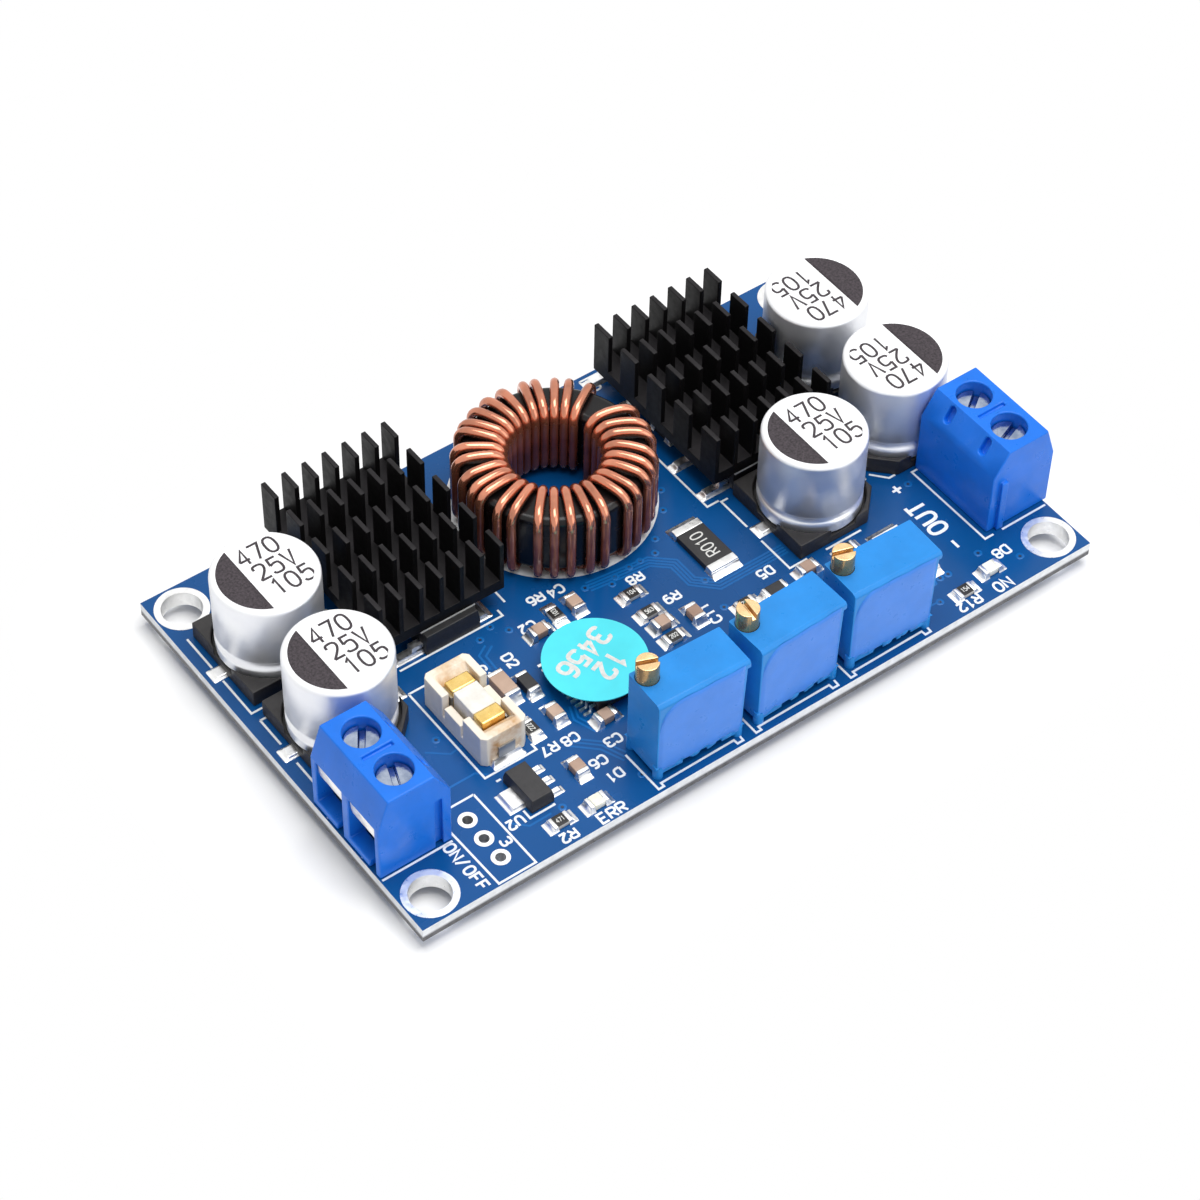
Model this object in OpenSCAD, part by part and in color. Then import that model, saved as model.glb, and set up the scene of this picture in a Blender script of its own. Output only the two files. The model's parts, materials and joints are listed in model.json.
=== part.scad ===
// Buck-boost converter module: a circuit board with two screw terminals, five capacitors,
// a wound ring inductor, two finned heatsinks, three trimmers, a fuse and small parts.
// Lengths are in millimetres. The origin is the centre of the four mounting holes, on the
// underside of the board. +X runs from the input end to the output end, +Y from the
// trimmers to the heatsinks, and +Z up.

/* [Board] */
// Length of the board, from the input end to the output end
board_l = 77.6; // [77.2:0.1:80]
// Width of the board, from the trimmers to the heatsinks
board_w = 46.5; // [46:0.1:48]
// Thickness of the board
board_t = 1.6; // [1.2:0.1:2.4]
// How far the soldered pins reach below the board
pin_reach = 1.2; // [0.8:0.1:2]

/* [Mounting holes] */
// Clear diameter of a plated mounting hole
hole_d = 4; // [3:0.1:4.4]
// Outer diameter of the plated ring around a mounting hole
ring_d = 5.3; // [5:0.1:5.4]
// Distance of the hole centres from the short edges
hole_inset_x = 2.8; // [2.75:0.05:3.2]
// Distance of the hole centres from the long edges
hole_inset_y = 2.9; // [2.75:0.05:3.2]

/* [Header holes] */
// Spacing of the three holes beside the input terminal
header_pitch = 2.54; // [2:0.01:2.6]
// Clear diameter of a header hole
header_hole_d = 1; // [0.8:0.05:1.2]

/* [Capacitors] */
// Diameter of a capacitor can
can_d = 10.3; // [8:0.1:10.4]
// Height of a capacitor over the board
cap_h = 10.3; // [8:0.1:13]
// Side of the square base under a can
base_w = 10.5; // [10.4:0.05:10.6]

/* [Heatsinks] */
// Width of a heatsink, across its fins
sink_w = 14; // [12:0.1:14.2]
// Length of a heatsink, along its rows of fins
sink_l = 19.5; // [18:0.1:19.8]
// Height of a heatsink
sink_h = 6; // [4:0.1:10]
// Thickness of the plate that carries the fins
sink_plate = 1.3; // [1:0.1:2.5]
// Fins across the width
fins_across = 7; // [4:1:8]
// Fins along the length
fins_along = 5; // [3:1:6]

/* [Inductor] */
// Outer diameter of the ring core
core_od = 18; // [16:0.1:18.5]
// Inner diameter of the ring core
core_id = 10.6; // [9:0.1:11]
// Height of the ring core
core_h = 6.9; // [5:0.1:9]
// Diameter of the copper wire
wire_d = 0.92; // [0.5:0.02:0.94]
// Number of turns wanted, held to what fits through the core
turns = 30; // [12:1:40]
// Angle of the core that is left bare of turns
bare_angle = 24; // [20:1:60]

/* [Screw terminals] */
// Spacing of the two poles of a terminal
term_pitch = 5.08; // [5:0.01:5.3]
// Depth of a terminal, from the wire entries to its back
term_depth = 7.7; // [7.6:0.1:8.2]
// Height of a terminal over the board
term_h = 10; // [9.7:0.1:11]
// How far a clamping screw lifts its wire clamp
clamp_travel = 2; // [1:0.1:2.1]

/* [Trimmers] */
// Length of a trimmer's case
trim_l = 9.5; // [9:0.1:9.8]
// Width of a trimmer's case
trim_w = 4.83; // [4.6:0.01:5]
// Height of a trimmer's case over the board
trim_h = 10; // [8:0.1:11]
// Spacing of the trimmers
trim_pitch = 11.15; // [11:0.05:11.4]
// Diameter of an adjusting screw
adjuster_d = 2.2; // [1.8:0.1:2.4]
// How far an adjusting screw stands out of its case
adjuster_rise = 2.1; // [0.8:0.1:2.4]

/* [Fuse] */
// Length of the fuse holder
holder_l = 9.7; // [9.4:0.1:10.4]
// Width of the fuse holder
holder_w = 5; // [4.8:0.1:5.4]
// Height of the fuse holder
holder_h = 3.8; // [3.7:0.1:4.6]
// Length of the fuse
fuse_l = 6.1; // [5.6:0.1:6.3]
// Side of the square section of the fuse
fuse_side = 2.6; // [2.2:0.1:2.7]

/* [Sticker] */
// Diameter of the round sticker on the control chip
sticker_d = 10; // [7:0.1:10.4]

/* [Hidden] */
$fn = 48;

// Edges of the board, seen from above
left_edge = -board_l / 2;
right_edge = board_l / 2;
front_edge = -board_w / 2;
rear_edge = board_w / 2;

// Small amount by which a cutting shape overshoots
over = 1;
// Thickness of the copper plating on and in the holes
plate_t = 0.05;

// Centres of the mounting holes
hole_x = right_edge - hole_inset_x;
hole_y = rear_edge - hole_inset_y;

// Place on the board, measured from one end and from the front edge, with a turn
function from_input(x, y, turn = 0) = [left_edge + x, front_edge + y, turn];
function from_output(x, y, turn = 0) = [right_edge - x, front_edge + y, turn];

// Header holes, in a row beside the input terminal
header_ring_w = 0.4;
header_ring_d = header_hole_d + 2 * header_ring_w;
header_place = from_input(10.1, 5.05);

// Screw terminals, drawn with the wire entries facing -X
term_end_wall = 0.25;
term_l = 2 * (term_pitch + term_end_wall);
term_inset_input = 0.15;
term_inset_output = -0.45;
term_row_input = 12.05;
term_row_output = 12.2;
term_input = from_input(term_inset_input + term_depth / 2, term_row_input);
term_output = from_output(term_inset_output + term_depth / 2, term_row_output);

// Heatsinks, each beside the pair of capacitors at its end of the board
cap_side = max(can_d, base_w);
cap_pair_gap = 1.15;
cap_edge_input = 1.85;
cap_edge_output = 1.25;
sink_gap_input = 1.2;
sink_gap_output = 0.35;
sink_rear_input = 0.65;
sink_rear_output = 1.75;
sink_input = [
    left_edge + cap_edge_input + cap_side + sink_gap_input + sink_w / 2,
    rear_edge - sink_rear_input - sink_l / 2
];
sink_output = [
    right_edge - cap_edge_output - cap_side - sink_gap_output - sink_w / 2,
    rear_edge - sink_rear_output - sink_l / 2
];

// Capacitors: a pair behind each terminal and one in front of the output heatsink
cap_front_gap_input = 0.67;
cap_front_gap_output = 0.12;
cap_sink_gap = 0.2;
cap_shift_input = 0.15;
cap_shift_output = 0.3;
cap_shift_middle = 0.4;
cap_step = cap_side + cap_pair_gap;
cap_x_input = left_edge + cap_edge_input + cap_side / 2;
cap_x_output = right_edge - cap_edge_output - cap_side / 2;
cap_y_input = term_input[1] + (term_l + cap_side) / 2 + cap_front_gap_input;
cap_y_output = term_output[1] + (term_l + cap_side) / 2 + cap_front_gap_output;
cap_y_middle = sink_output[1] - (sink_l + cap_side) / 2 - cap_sink_gap;
cap_front_input = [cap_x_input + cap_shift_input, cap_y_input, 0];
cap_rear_input = [cap_x_input, cap_y_input + cap_step, 0];
cap_front_output = [cap_x_output + cap_shift_output, cap_y_output, 180];
cap_rear_output = [cap_x_output, cap_y_output + cap_step, 180];
cap_middle = [sink_output[0] + cap_shift_middle, cap_y_middle, 0];
capacitors = [cap_front_input, cap_rear_input, cap_front_output, cap_rear_output, cap_middle];
base_floor = 0.9;
base_post_h = 1.9;
base_chamfer = 2.2;
can_seat_gap = 0.2;
can_edge_r = 0.5;
can_groove_r = 0.5;
can_groove_depth = 0.28;
can_groove_z = 2.1;
lead_w = 1;
lead_t = 0.3;
lead_l = 5.4;
lead_out = 0.9;

// Fins, and the transistors below the heatsinks
fin_t = 0.5;
fin_l = 2.4;
package_slope = 0.15;
package_knee = 0.5;
transistor_l = 6.1;
transistor_w = 6.6;
transistor_h = 2.3;
transistor_row_shift = 0.3;
transistor_end = 2.75;
transistor_shift_input = 0.6;
transistor_shift_output = -1.4;
transistor_row_y = sink_input[1] - transistor_row_shift;
transistor_spread = sink_l / 2 - transistor_end;
transistor_input_x = sink_input[0] + transistor_shift_input;
transistor_output_x = sink_output[0] + transistor_shift_output;
tab_w = 5.3;
tab_t = 0.5;
tab_out = 1.1;
transistor_lead_span = 4.57;
transistor_lead_w = 0.8;
transistor_lead_reach = 2.7;
lead_knee = 0.45;
pad_t = 0.2;
sink_z = board_t + transistor_h + pad_t;

// Inductor: the wire runs up the outside, in over the top, down the inside and out below
wire_gap = 0.02;
wire_bend_r = 1.2;
core_edge_r = wire_bend_r - wire_d / 2 - wire_gap;
wire_low = board_t + wire_d / 2;
core_z = board_t + wire_d + wire_gap;
wire_high = core_z + core_h + wire_gap + wire_d / 2;
wire_out_r = core_od / 2 + wire_gap + wire_d / 2;
wire_in_r = core_id / 2 - wire_gap - wire_d / 2;
inductor_gap = 1.11;
inductor_rear = 12.85;
inductor_r = wire_out_r + wire_d / 2;
inductor_place = [sink_input[0] + sink_w / 2 + inductor_gap + inductor_r, rear_edge - inductor_rear];
bare_centre = 14;
turn_room = (wire_d + wire_gap) / wire_in_r * 180 / PI;
turn_count = min(turns, floor((360 - bare_angle) / turn_room));
turn_step = (360 - bare_angle) / turn_count;
turn_wander = 0.15;
lean_turns = 6;
end_lean = 15;
wire_sides = 8;
bend_steps = 2;

// Section of a terminal, and the screw, clamp and contact of one pole
term_front_x = -term_depth / 2;
term_back_x = term_depth / 2;
term_front_knee = 6.6;
term_front_run = 1.15;
term_back_knee = 7.2;
term_back_run = 1.7;
pole_wall = 0.98;
sill_t = 1.7;
cell_l = 4.6;
cell_w = term_pitch - pole_wall;
cell_front = term_front_x + sill_t;
entry_low = 0.9;
entry_high = 6.4;
sill_notch_w = 0.9;
clamp_slack = 0.15;
clamp_w = cell_w - 2 * clamp_slack;
clamp_l = 3.1;
clamp_set_back = 0.45;
clamp_head_room = 0.25;
clamp_x = cell_front + clamp_set_back + clamp_l / 2;
clamp_z = 0.3;
clamp_floor = 0.5;
clamp_side = 0.5;
clamp_nut_t = 1.2;
bar_t = 0.5;
bar_play = 0.1;
bar_side_play = 0.2;
bar_w = clamp_w - 2 * (clamp_side + bar_side_play);
window_h = clamp_travel + bar_t + 2.5 * bar_play;
clamp_h = clamp_floor + window_h + clamp_nut_t;
bar_z = clamp_z + clamp_floor + window_h - bar_play - bar_t;
cell_top = clamp_z + clamp_h + clamp_travel + clamp_head_room;
contact_leg_t = 0.5;
contact_leg_gap = 0.25;
contact_leg_x = clamp_x + clamp_l / 2 + contact_leg_gap;
contact_pin_d = 1;
screw_d = 2.5;
screw_play = 0.05;
screw_roof_t = 0.75;
screw_seat = cell_top + screw_roof_t;
screw_head_d = 3.3;
screw_head_h = 1.2;
screw_head_play = 0.1;
screw_tip_gap = 0.15;
screw_tip = bar_z + bar_t + screw_tip_gap;
screw_slot_w = 0.6;
screw_slot_depth = 0.7;
input_turns = [70, 55];
output_turns = [35, 20];
rib_w = 0.9;
rib_neck = 0.6;
rib_out = 0.4;
rib_h = 6.4;
rib_play = 0.05;
rib_inset = 1.35;
rib_x = term_back_x - rib_inset;
probe_slot_w = 0.85;
probe_slot_l = 1;
probe_slot_depth = 0.7;
probe_slot_rise = 0.62;

// Trimmers, in a row along the front edge
trim_middle = from_input(42.5, 3.65);
trim_turns = [-2, 2, -2];
trim_foot_h = 0.5;
trim_foot_d = 1;
trim_foot_out = 0.15;
trim_lip = 0.5;
trim_lip_h = 0.9;
trim_edge = 0.35;
trim_notch = 0.4;
trim_notch_w = trim_l * 0.12;
trim_notch_step = trim_l * 0.17;
trim_notch_start = -trim_l * 0.2;
adjuster_inset = 1.2;
adjuster_x = -trim_l / 2 + adjuster_inset;
adjuster_y = trim_w / 2 - adjuster_inset;
adjuster_depth = 3;
adjuster_play = 0.05;
adjuster_slot_w = 0.42;
adjuster_slot_depth = 0.6;
adjuster_turns = [-20, 82, -16];
trim_pin_pitch = 2.54;
trim_pin_d = 0.5;

// Fuse holder, fuse and clips, with their long axis along Y
holder_place = from_input(17.1, 16.35);
holder_chamfer = 0.45;
holder_floor = 0.9;
holder_funnel = 0.9;
clip_t = 0.2;
clip_l = 1.5;
clip_side_h = 2.1;
tongue_w = 1.8;
tongue_h = 2;
pocket_side_play = 0.2;
pocket_end_play = 0.1;
pocket_w = fuse_side + 2 * (clip_t + pocket_side_play);
pocket_l = fuse_l + 2 * pocket_end_play;
wall_dip_l = 2.9;
wall_dip = 1.3;
clip_slot_w = 0.3;
fuse_cap_l = 1.5;
fuse_z = board_t + holder_floor + clip_t;

// Chip parts: length, width and height, the length of a metal end, and the places
chip_resistor = [2, 1.25, 0.5];
chip_capacitor = [2, 1.25, 0.9];
chip_bulk = [3.2, 1.6, 1.3];
chip_lamp = [2, 1.25, 0.75];
chip_diode = [2.5, 1.25, 0.95];
chip_shunt = [6.4, 3.2, 0.65];
chip_end = 0.42;
shunt_end = 0.9;
diode_end = 0.4;
middle_row_gap = 1.7;
middle_row_y = cap_middle[1] - cap_side / 2 - middle_row_gap;
resistor_places = [
    from_input(30.6, 22.5, 90), from_input(20.7, 12.65, 90), from_input(16.6, 2.55),
    from_input(37.9, 20.35), from_input(37.9, 17.55), from_input(37.9, 13.75), from_input(45.9, 13.05),
    [cap_middle[0] - 0.9, middle_row_y], from_output(13.9, 2.25)
];
capacitor_places = [
    from_input(32.8, 22.45, 90), from_input(28.1, 21.55), from_input(23.5, 12.75, 90), from_input(27, 9.75),
    from_input(21.4, 6.45, 90), from_input(38, 15.65), from_input(41.2, 14.85, 90),
    [cap_middle[0] - 5.6, middle_row_y + 0.2]
];
bulk_places = [from_input(21.4, 17.9, 90)];
lamp_places = [from_input(20.5, 2.35), from_output(10.2, 2.95)];
diode_places = [
    from_input(23.45, 17, 90), [cap_middle[0] - 9.9, middle_row_y - 0.3],
    [transistor_output_x - 3.7, transistor_row_y - 0.35, 90]
];
middle_shunt_place = [cap_middle[0] - 11.75, cap_middle[1] + 1.25, 90];
output_shunt_place = from_output(15.5, 9.15, 90);

// Regulator, control chip and sticker
regulator_place = from_input(16.4, 7.05);
regulator_size = [2.5, 4.5, 1.5];
regulator_lead_pitch = 1.5;
regulator_lead = [1, 0.45, 0.4];
regulator_tab = [1.2, 2.2, 0.4];
chip_place = from_input(29.5, 14.75);
chip_size = [5.3, 8.2, 1.75];
chip_standoff = 0.1;
chip_lead_pitch = 0.65;
chip_lead_w = 0.3;
chip_lead_t = 0.15;
chip_lead_reach = 1.25;
leads_per_side = 12;
sticker_t = 0.1;

// Moves its child to a place on top of the board, turned by the third number of the place
module on_board(place) {
    turn = len(place) > 2 ? place[2] : 0;
    translate([place[0], place[1], board_t]) rotate([0, 0, turn]) children();
}

// Copies its child to the four mounting holes
module at_mounting_holes() {
    for (sx = [-1, 1], sy = [-1, 1]) translate([sx * hole_x, sy * hole_y, 0]) children();
}

// Copies its child to the three header holes
module at_header_holes() {
    for (i = [-1:1]) translate([header_place[0], header_place[1] + i * header_pitch, 0]) children();
}

// Plating of one hole: a lined bore with a flat ring on each face of the board
module plated_hole(bore_d, outer_d) {
    rotate_extrude() {
        translate([bore_d / 2, -plate_t]) square([plate_t, board_t + 2 * plate_t]);
        for (z = [-plate_t, board_t]) translate([bore_d / 2, z]) square([(outer_d - bore_d) / 2, plate_t]);
    }
}

// Drill of a soldered pin, through the board
module pin_drill(d) {
    translate([0, 0, -over]) cylinder(d = d, h = board_t + 2 * over);
}

// Pin that goes through the board and reaches below it
module board_pin(d) {
    translate([0, 0, -board_t - pin_reach]) cylinder(d = d, h = board_t + pin_reach);
}

module circuit_board() {
    color("royalblue") difference() {
        translate([left_edge, front_edge, 0]) cube([board_l, board_w, board_t]);
        at_mounting_holes() pin_drill(hole_d + 2 * plate_t);
        at_header_holes() pin_drill(header_hole_d + 2 * plate_t);
        at_terminal_pins() translate([0, 0, -board_t]) pin_drill(contact_pin_d);
        at_trimmer_pins() translate([0, 0, -board_t]) pin_drill(trim_pin_d);
        translate([inductor_place[0], inductor_place[1], 0]) {
            translate(wire_outside(0)) pin_drill(wire_d);
            translate(wire_inside(turn_count - 1)) pin_drill(wire_d);
        }
    }
}

module mounting_hole_plating() {
    color("silver") at_mounting_holes() plated_hole(hole_d, ring_d);
}

module header_plating() {
    color("silver") at_header_holes() plated_hole(header_hole_d, header_ring_d);
}

// Section of a capacitor can: a rounded rim above, and a crimped groove low on the side
module can_section() {
    can_h = cap_h - base_floor;
    can_r = can_d / 2;
    difference() {
        union() {
            square([can_r, can_h - can_edge_r]);
            square([can_r - can_edge_r, can_h]);
            translate([can_r - can_edge_r, can_h - can_edge_r]) circle(can_edge_r);
        }
        translate([can_r + can_groove_r - can_groove_depth, can_groove_z]) circle(can_groove_r);
    }
}

module capacitor_can(place) {
    color("gainsboro") on_board(place) translate([0, 0, base_floor]) rotate_extrude() can_section();
}

// Square base with two corners cut off on the positive side, and posts around the can
module capacitor_base(place) {
    half = base_w / 2;
    outline = [
        [-half, -half], [half - base_chamfer, -half], [half, -half + base_chamfer],
        [half, half - base_chamfer], [half - base_chamfer, half], [-half, half]
    ];
    color("dimgray") on_board(place) difference() {
        linear_extrude(base_post_h) polygon(outline);
        translate([0, 0, base_floor]) cylinder(d = max(can_d, base_w) + 2 * can_seat_gap, h = base_post_h);
        capacitor_lead_pair();
    }
}

// The two flat leads of a capacitor, which lie in grooves under its base
module capacitor_lead_pair() {
    for (side = [0, 180]) rotate([0, 0, side])
        translate([base_w / 2 + lead_out - lead_l, -lead_w / 2, 0]) cube([lead_l, lead_w, lead_t]);
}

module capacitor_leads() {
    color("silver") for (place = capacitors) on_board(place) capacitor_lead_pair();
}

// Plate with rows of thin upright fins
module heatsink(place) {
    fin_step_x = (sink_w - fin_t) / (fins_across - 1);
    fin_step_y = (sink_l - fin_l) / (fins_along - 1);
    color("black") translate([place[0] - sink_w / 2, place[1] - sink_l / 2, sink_z]) {
        cube([sink_w, sink_l, sink_plate]);
        for (i = [0:fins_across - 1], j = [0:fins_along - 1])
            translate([i * fin_step_x, j * fin_step_y, 0]) cube([fin_t, fin_l, sink_h]);
    }
}

// Sheet of thermal glue between a heatsink and its two transistors
module thermal_pad(x, sink_y) {
    color("lightgray") translate([x - transistor_l / 2, sink_y - sink_l / 2, sink_z - pad_t])
        cube([transistor_l, sink_l, pad_t]);
}

// Section of a moulded package, with upright flanks below and sloping ones above
function package_section(width, height) =
    let (half = width / 2, top = half - package_slope, knee = height * package_knee)
    [[-half, 0], [half, 0], [half, knee], [top, height], [-top, height], [-half, knee]];

// Moulded package with sloping flanks on all four sides
module package_body(size) {
    intersection() {
        rotate([90, 0, 0]) linear_extrude(size[1], center = true) polygon(package_section(size[0], size[2]));
        rotate([90, 0, 90]) linear_extrude(size[0], center = true) polygon(package_section(size[1], size[2]));
    }
}

// Metal parts of one transistor: a tab under the body and two bent leads
module transistor_metal() {
    tab_l = transistor_l / 2 + tab_out;
    translate([0, -tab_w / 2, 0]) cube([tab_l, tab_w, tab_t]);
    for (side = [-1, 1]) translate([-transistor_l / 2, side * transistor_lead_span / 2, 0])
        bent_lead(transistor_lead_reach, transistor_h / 2, tab_t, transistor_lead_w);
}

// Lead that leaves a body toward -X at a height, drops to the board and ends in a flat foot
module bent_lead(reach, height, thick, width) {
    knee = reach * lead_knee;
    rotate([90, 0, 0]) linear_extrude(width, center = true) {
        translate([-knee, height - thick]) square([knee, thick]);
        translate([-knee, 0]) square([thick, height]);
        translate([-reach, 0]) square([reach - knee + thick, thick]);
    }
}

function transistor_place(x, side) = [x, transistor_row_y + side * transistor_spread];

module transistor(x, side) {
    color("dimgray") on_board(transistor_place(x, side)) difference() {
        package_body([transistor_l, transistor_w, transistor_h]);
        transistor_metal();
    }
}

module transistor_leads() {
    color("silver") for (x = [transistor_input_x, transistor_output_x], side = [-1, 1])
        on_board(transistor_place(x, side)) transistor_metal();
}

// Ring core with rounded edges that match the bends of the wire
module inductor_core() {
    core_side = (core_od - core_id) / 2;
    color("black") translate([inductor_place[0], inductor_place[1], core_z]) rotate_extrude() {
        translate([core_id / 2, core_edge_r]) square([core_side, core_h - 2 * core_edge_r]);
        translate([core_id / 2 + core_edge_r, 0]) square([core_side - 2 * core_edge_r, core_h]);
        for (r = [core_id / 2 + core_edge_r, core_od / 2 - core_edge_r])
            for (z = [core_edge_r, core_h - core_edge_r]) translate([r, z]) circle(core_edge_r);
    }
}

// Angle of turn i, and how far its inner end leans toward the bare part, which the last turns do
function turn_angle(i) = bare_centre + bare_angle / 2 + (i + 0.5) * turn_step;
function turn_lean(i) = end_lean * max(0, i + 1 + lean_turns - turn_count) / lean_turns;
// Angles inside the core and on the outside, where the turns are spaced unevenly
function inner_angle(i) = turn_angle(i) + turn_lean(i);
function outer_angle(i) = turn_angle(i) + turn_step * turn_wander * (sin(i * 151) + sin(i * 67));
function wire_inside(i) = wire_in_r * [cos(inner_angle(i)), sin(inner_angle(i))];
function wire_outside(i) = wire_out_r * [cos(outer_angle(i)), sin(outer_angle(i))];

// Point of the wire above or below a place on the plan
function at_level(place, level) = [place[0], place[1], level];

// Corners of the wire, in order: for each turn over the top and inward, then down and out below
function wire_corners() = [
    for (i = [0:turn_count - 1]) each [
        at_level(wire_outside(i), wire_high),
        at_level(wire_inside(i), wire_high),
        if (i < turn_count - 1) at_level(wire_inside(i), wire_low),
        if (i < turn_count - 1) at_level(wire_outside(i + 1), wire_low)
    ]
];

function unit(v) = v / norm(v);

// One ring of points around the wire at p, where the wire runs along ahead and bends about side
function wire_ring(p, ahead, side) = [
    for (k = [0:wire_sides - 1])
        p + wire_d / 2 * (cos(360 * k / wire_sides) * side + sin(360 * k / wire_sides) * cross(ahead, side))
];

// Rings along the quarter circle that rounds the corner between two points
function bend_rings(before, corner, after) =
    let (
        back = unit(before - corner),
        ahead = unit(after - corner),
        side = unit(cross(ahead, back)),
        centre = corner + wire_bend_r * (back + ahead)
    ) [
        for (step = [0:bend_steps])
            let (t = 90 * step / bend_steps)
            wire_ring(
                centre - wire_bend_r * (ahead * cos(t) + back * sin(t)),
                ahead * sin(t) - back * cos(t),
                side
            )
    ];

// The wire as one tube through all its bends, with both leads going down through the board
module inductor_winding() {
    corners = wire_corners();
    last = len(corners) - 1;
    path = concat([at_level(corners[0], -pin_reach)], corners, [at_level(corners[last], -pin_reach)]);
    bends = [for (i = [1:last + 1]) each bend_rings(path[i - 1], path[i], path[i + 1])];
    first_ring = [for (p = bends[0]) at_level(p, -pin_reach)];
    last_ring = [for (p = bends[len(bends) - 1]) at_level(p, -pin_reach)];
    rings = concat([first_ring], bends, [last_ring]);
    ring_faces = [
        for (j = [0:len(rings) - 2], k = [0:wire_sides - 1])
            let (
                a = j * wire_sides + k,
                b = j * wire_sides + (k + 1) % wire_sides,
                c = a + wire_sides,
                d = b + wire_sides
            )
            each [[a, c, b], [b, c, d]]
    ];
    start_face = [for (k = [0:wire_sides - 1]) k];
    end_face = [for (k = [wire_sides - 1:-1:0]) (len(rings) - 1) * wire_sides + k];
    color("peru") translate([inductor_place[0], inductor_place[1], 0])
        polyhedron(
            points = [for (ring = rings) each ring],
            faces = concat([start_face], ring_faces, [end_face])
        );
}

// Moves its child to a terminal, with the wire entries toward the end of the board
module at_input_terminal() {
    translate([term_input[0], term_input[1], board_t]) children();
}

module at_output_terminal() {
    translate([term_output[0], term_output[1], board_t]) rotate([0, 0, 180]) children();
}

// Moves its child to one pole of a terminal: -1 and 1 are its two ends
module at_pole(side) {
    translate([0, side * term_pitch / 2, 0]) children();
}

module at_terminal_pins() {
    for (side = [-1, 1]) {
        at_input_terminal() at_pole(side) translate([contact_leg_x + contact_leg_t / 2, 0, 0]) children();
        at_output_terminal() at_pole(side) translate([contact_leg_x + contact_leg_t / 2, 0, 0]) children();
    }
}

// Side outline of a terminal, with a slope on the front and on the back
module terminal_outline() {
    polygon([
        [term_front_x, 0], [term_front_x, term_front_knee], [term_front_x + term_front_run, term_h],
        [term_back_x - term_back_run, term_h], [term_back_x, term_back_knee], [term_back_x, 0]
    ]);
}

// Plan of the dovetail rib that links terminals side by side
module dovetail(play) {
    grow = play * 2;
    polygon([
        [-rib_neck / 2 - play, 0], [rib_neck / 2 + play, 0],
        [rib_w / 2 + grow, rib_out + play], [-rib_w / 2 - grow, rib_out + play]
    ]);
}

// Space for one pole: screw hole, chamber open below, wire entry and notch in the sill
module terminal_cell() {
    translate([cell_front, -cell_w / 2, -over]) cube([cell_l, cell_w, cell_top + over]);
    translate([term_front_x - over, -cell_w / 2, entry_low])
        cube([sill_t + 2 * over, cell_w, entry_high - entry_low]);
    translate([term_front_x - over, -cell_w / 2, -over])
        cube([sill_t + 2 * over, sill_notch_w, entry_low + 2 * over]);
    translate([clamp_x, 0, cell_top - over]) cylinder(d = screw_d + 2 * screw_play, h = term_h);
    translate([clamp_x, 0, screw_seat]) cylinder(d = screw_head_d + 2 * screw_head_play, h = term_h);
    probe_slot();
}

// Oval slot in the sloping back
module probe_slot() {
    slope = atan2(term_h - term_back_knee, term_back_run);
    middle_x = term_back_x - term_back_run * probe_slot_rise;
    middle_z = term_back_knee + (term_h - term_back_knee) * probe_slot_rise;
    translate([middle_x, 0, middle_z]) rotate([0, slope, 0]) translate([0, 0, -probe_slot_depth])
        linear_extrude(probe_slot_depth + over) {
            square([probe_slot_l, probe_slot_w], center = true);
            for (side = [-1, 1]) translate([side * probe_slot_l / 2, 0]) circle(d = probe_slot_w);
        }
}

module terminal_housing() {
    groove = [3.2, 0.45, 0.4];
    color("dodgerblue") difference() {
        union() {
            rotate([90, 0, 0]) linear_extrude(term_l, center = true) terminal_outline();
            translate([rib_x, term_l / 2, 0]) linear_extrude(rib_h) dovetail(0);
        }
        for (side = [-1, 1]) at_pole(side) terminal_cell();
        translate([rib_x, -term_l / 2, -over]) linear_extrude(rib_h + over) dovetail(rib_play);
        translate([clamp_x - groove[0] / 2, -groove[1] / 2, term_h - groove[2]])
            cube([groove[0], groove[1], groove[2] + over]);
    }
}

// Slotted screw that turns in the housing and lifts the clamp on its thread
module terminal_screw(side, turns) {
    turn = turns[side < 0 ? 0 : 1];
    color("silver") at_pole(side) translate([clamp_x, 0, 0]) difference() {
        union() {
            translate([0, 0, screw_tip]) cylinder(d = screw_d, h = screw_seat - screw_tip + screw_head_h / 2);
            translate([0, 0, screw_seat]) cylinder(d = screw_head_d, h = screw_head_h);
        }
        translate([0, 0, screw_seat + screw_head_h]) rotate([0, 0, turn])
            cube([screw_head_d + over, screw_slot_w, 2 * screw_slot_depth], center = true);
    }
}

// Cage that rises with the screw and presses the wire up against the contact bar
module wire_clamp(side) {
    window_w = clamp_w - 2 * clamp_side;
    color("silver") at_pole(side) translate([clamp_x, 0, clamp_z]) difference() {
        translate([-clamp_l / 2, -clamp_w / 2, 0]) cube([clamp_l, clamp_w, clamp_h]);
        translate([-clamp_l / 2 - over, -window_w / 2, clamp_floor])
            cube([clamp_l + 2 * over, window_w, window_h]);
        translate([0, 0, clamp_h - clamp_nut_t - over]) cylinder(d = screw_d + 2 * screw_play, h = clamp_h);
    }
}

// Fixed bar inside the clamp, bent down to a leg and a pin through the board
module terminal_contact(side) {
    bar_start = clamp_x - clamp_l / 2;
    bar_l = contact_leg_x + contact_leg_t - bar_start;
    at_pole(side) {
        translate([bar_start, -bar_w / 2, bar_z]) cube([bar_l, bar_w, bar_t]);
        translate([contact_leg_x, -bar_w / 2, 0]) cube([contact_leg_t, bar_w, bar_z + bar_t]);
        translate([contact_leg_x + contact_leg_t / 2, 0, 0]) board_pin(contact_pin_d);
    }
}

module input_contacts() {
    color("silver") for (side = [-1, 1]) at_input_terminal() terminal_contact(side);
}

module output_contacts() {
    color("silver") for (side = [-1, 1]) at_output_terminal() terminal_contact(side);
}

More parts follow.
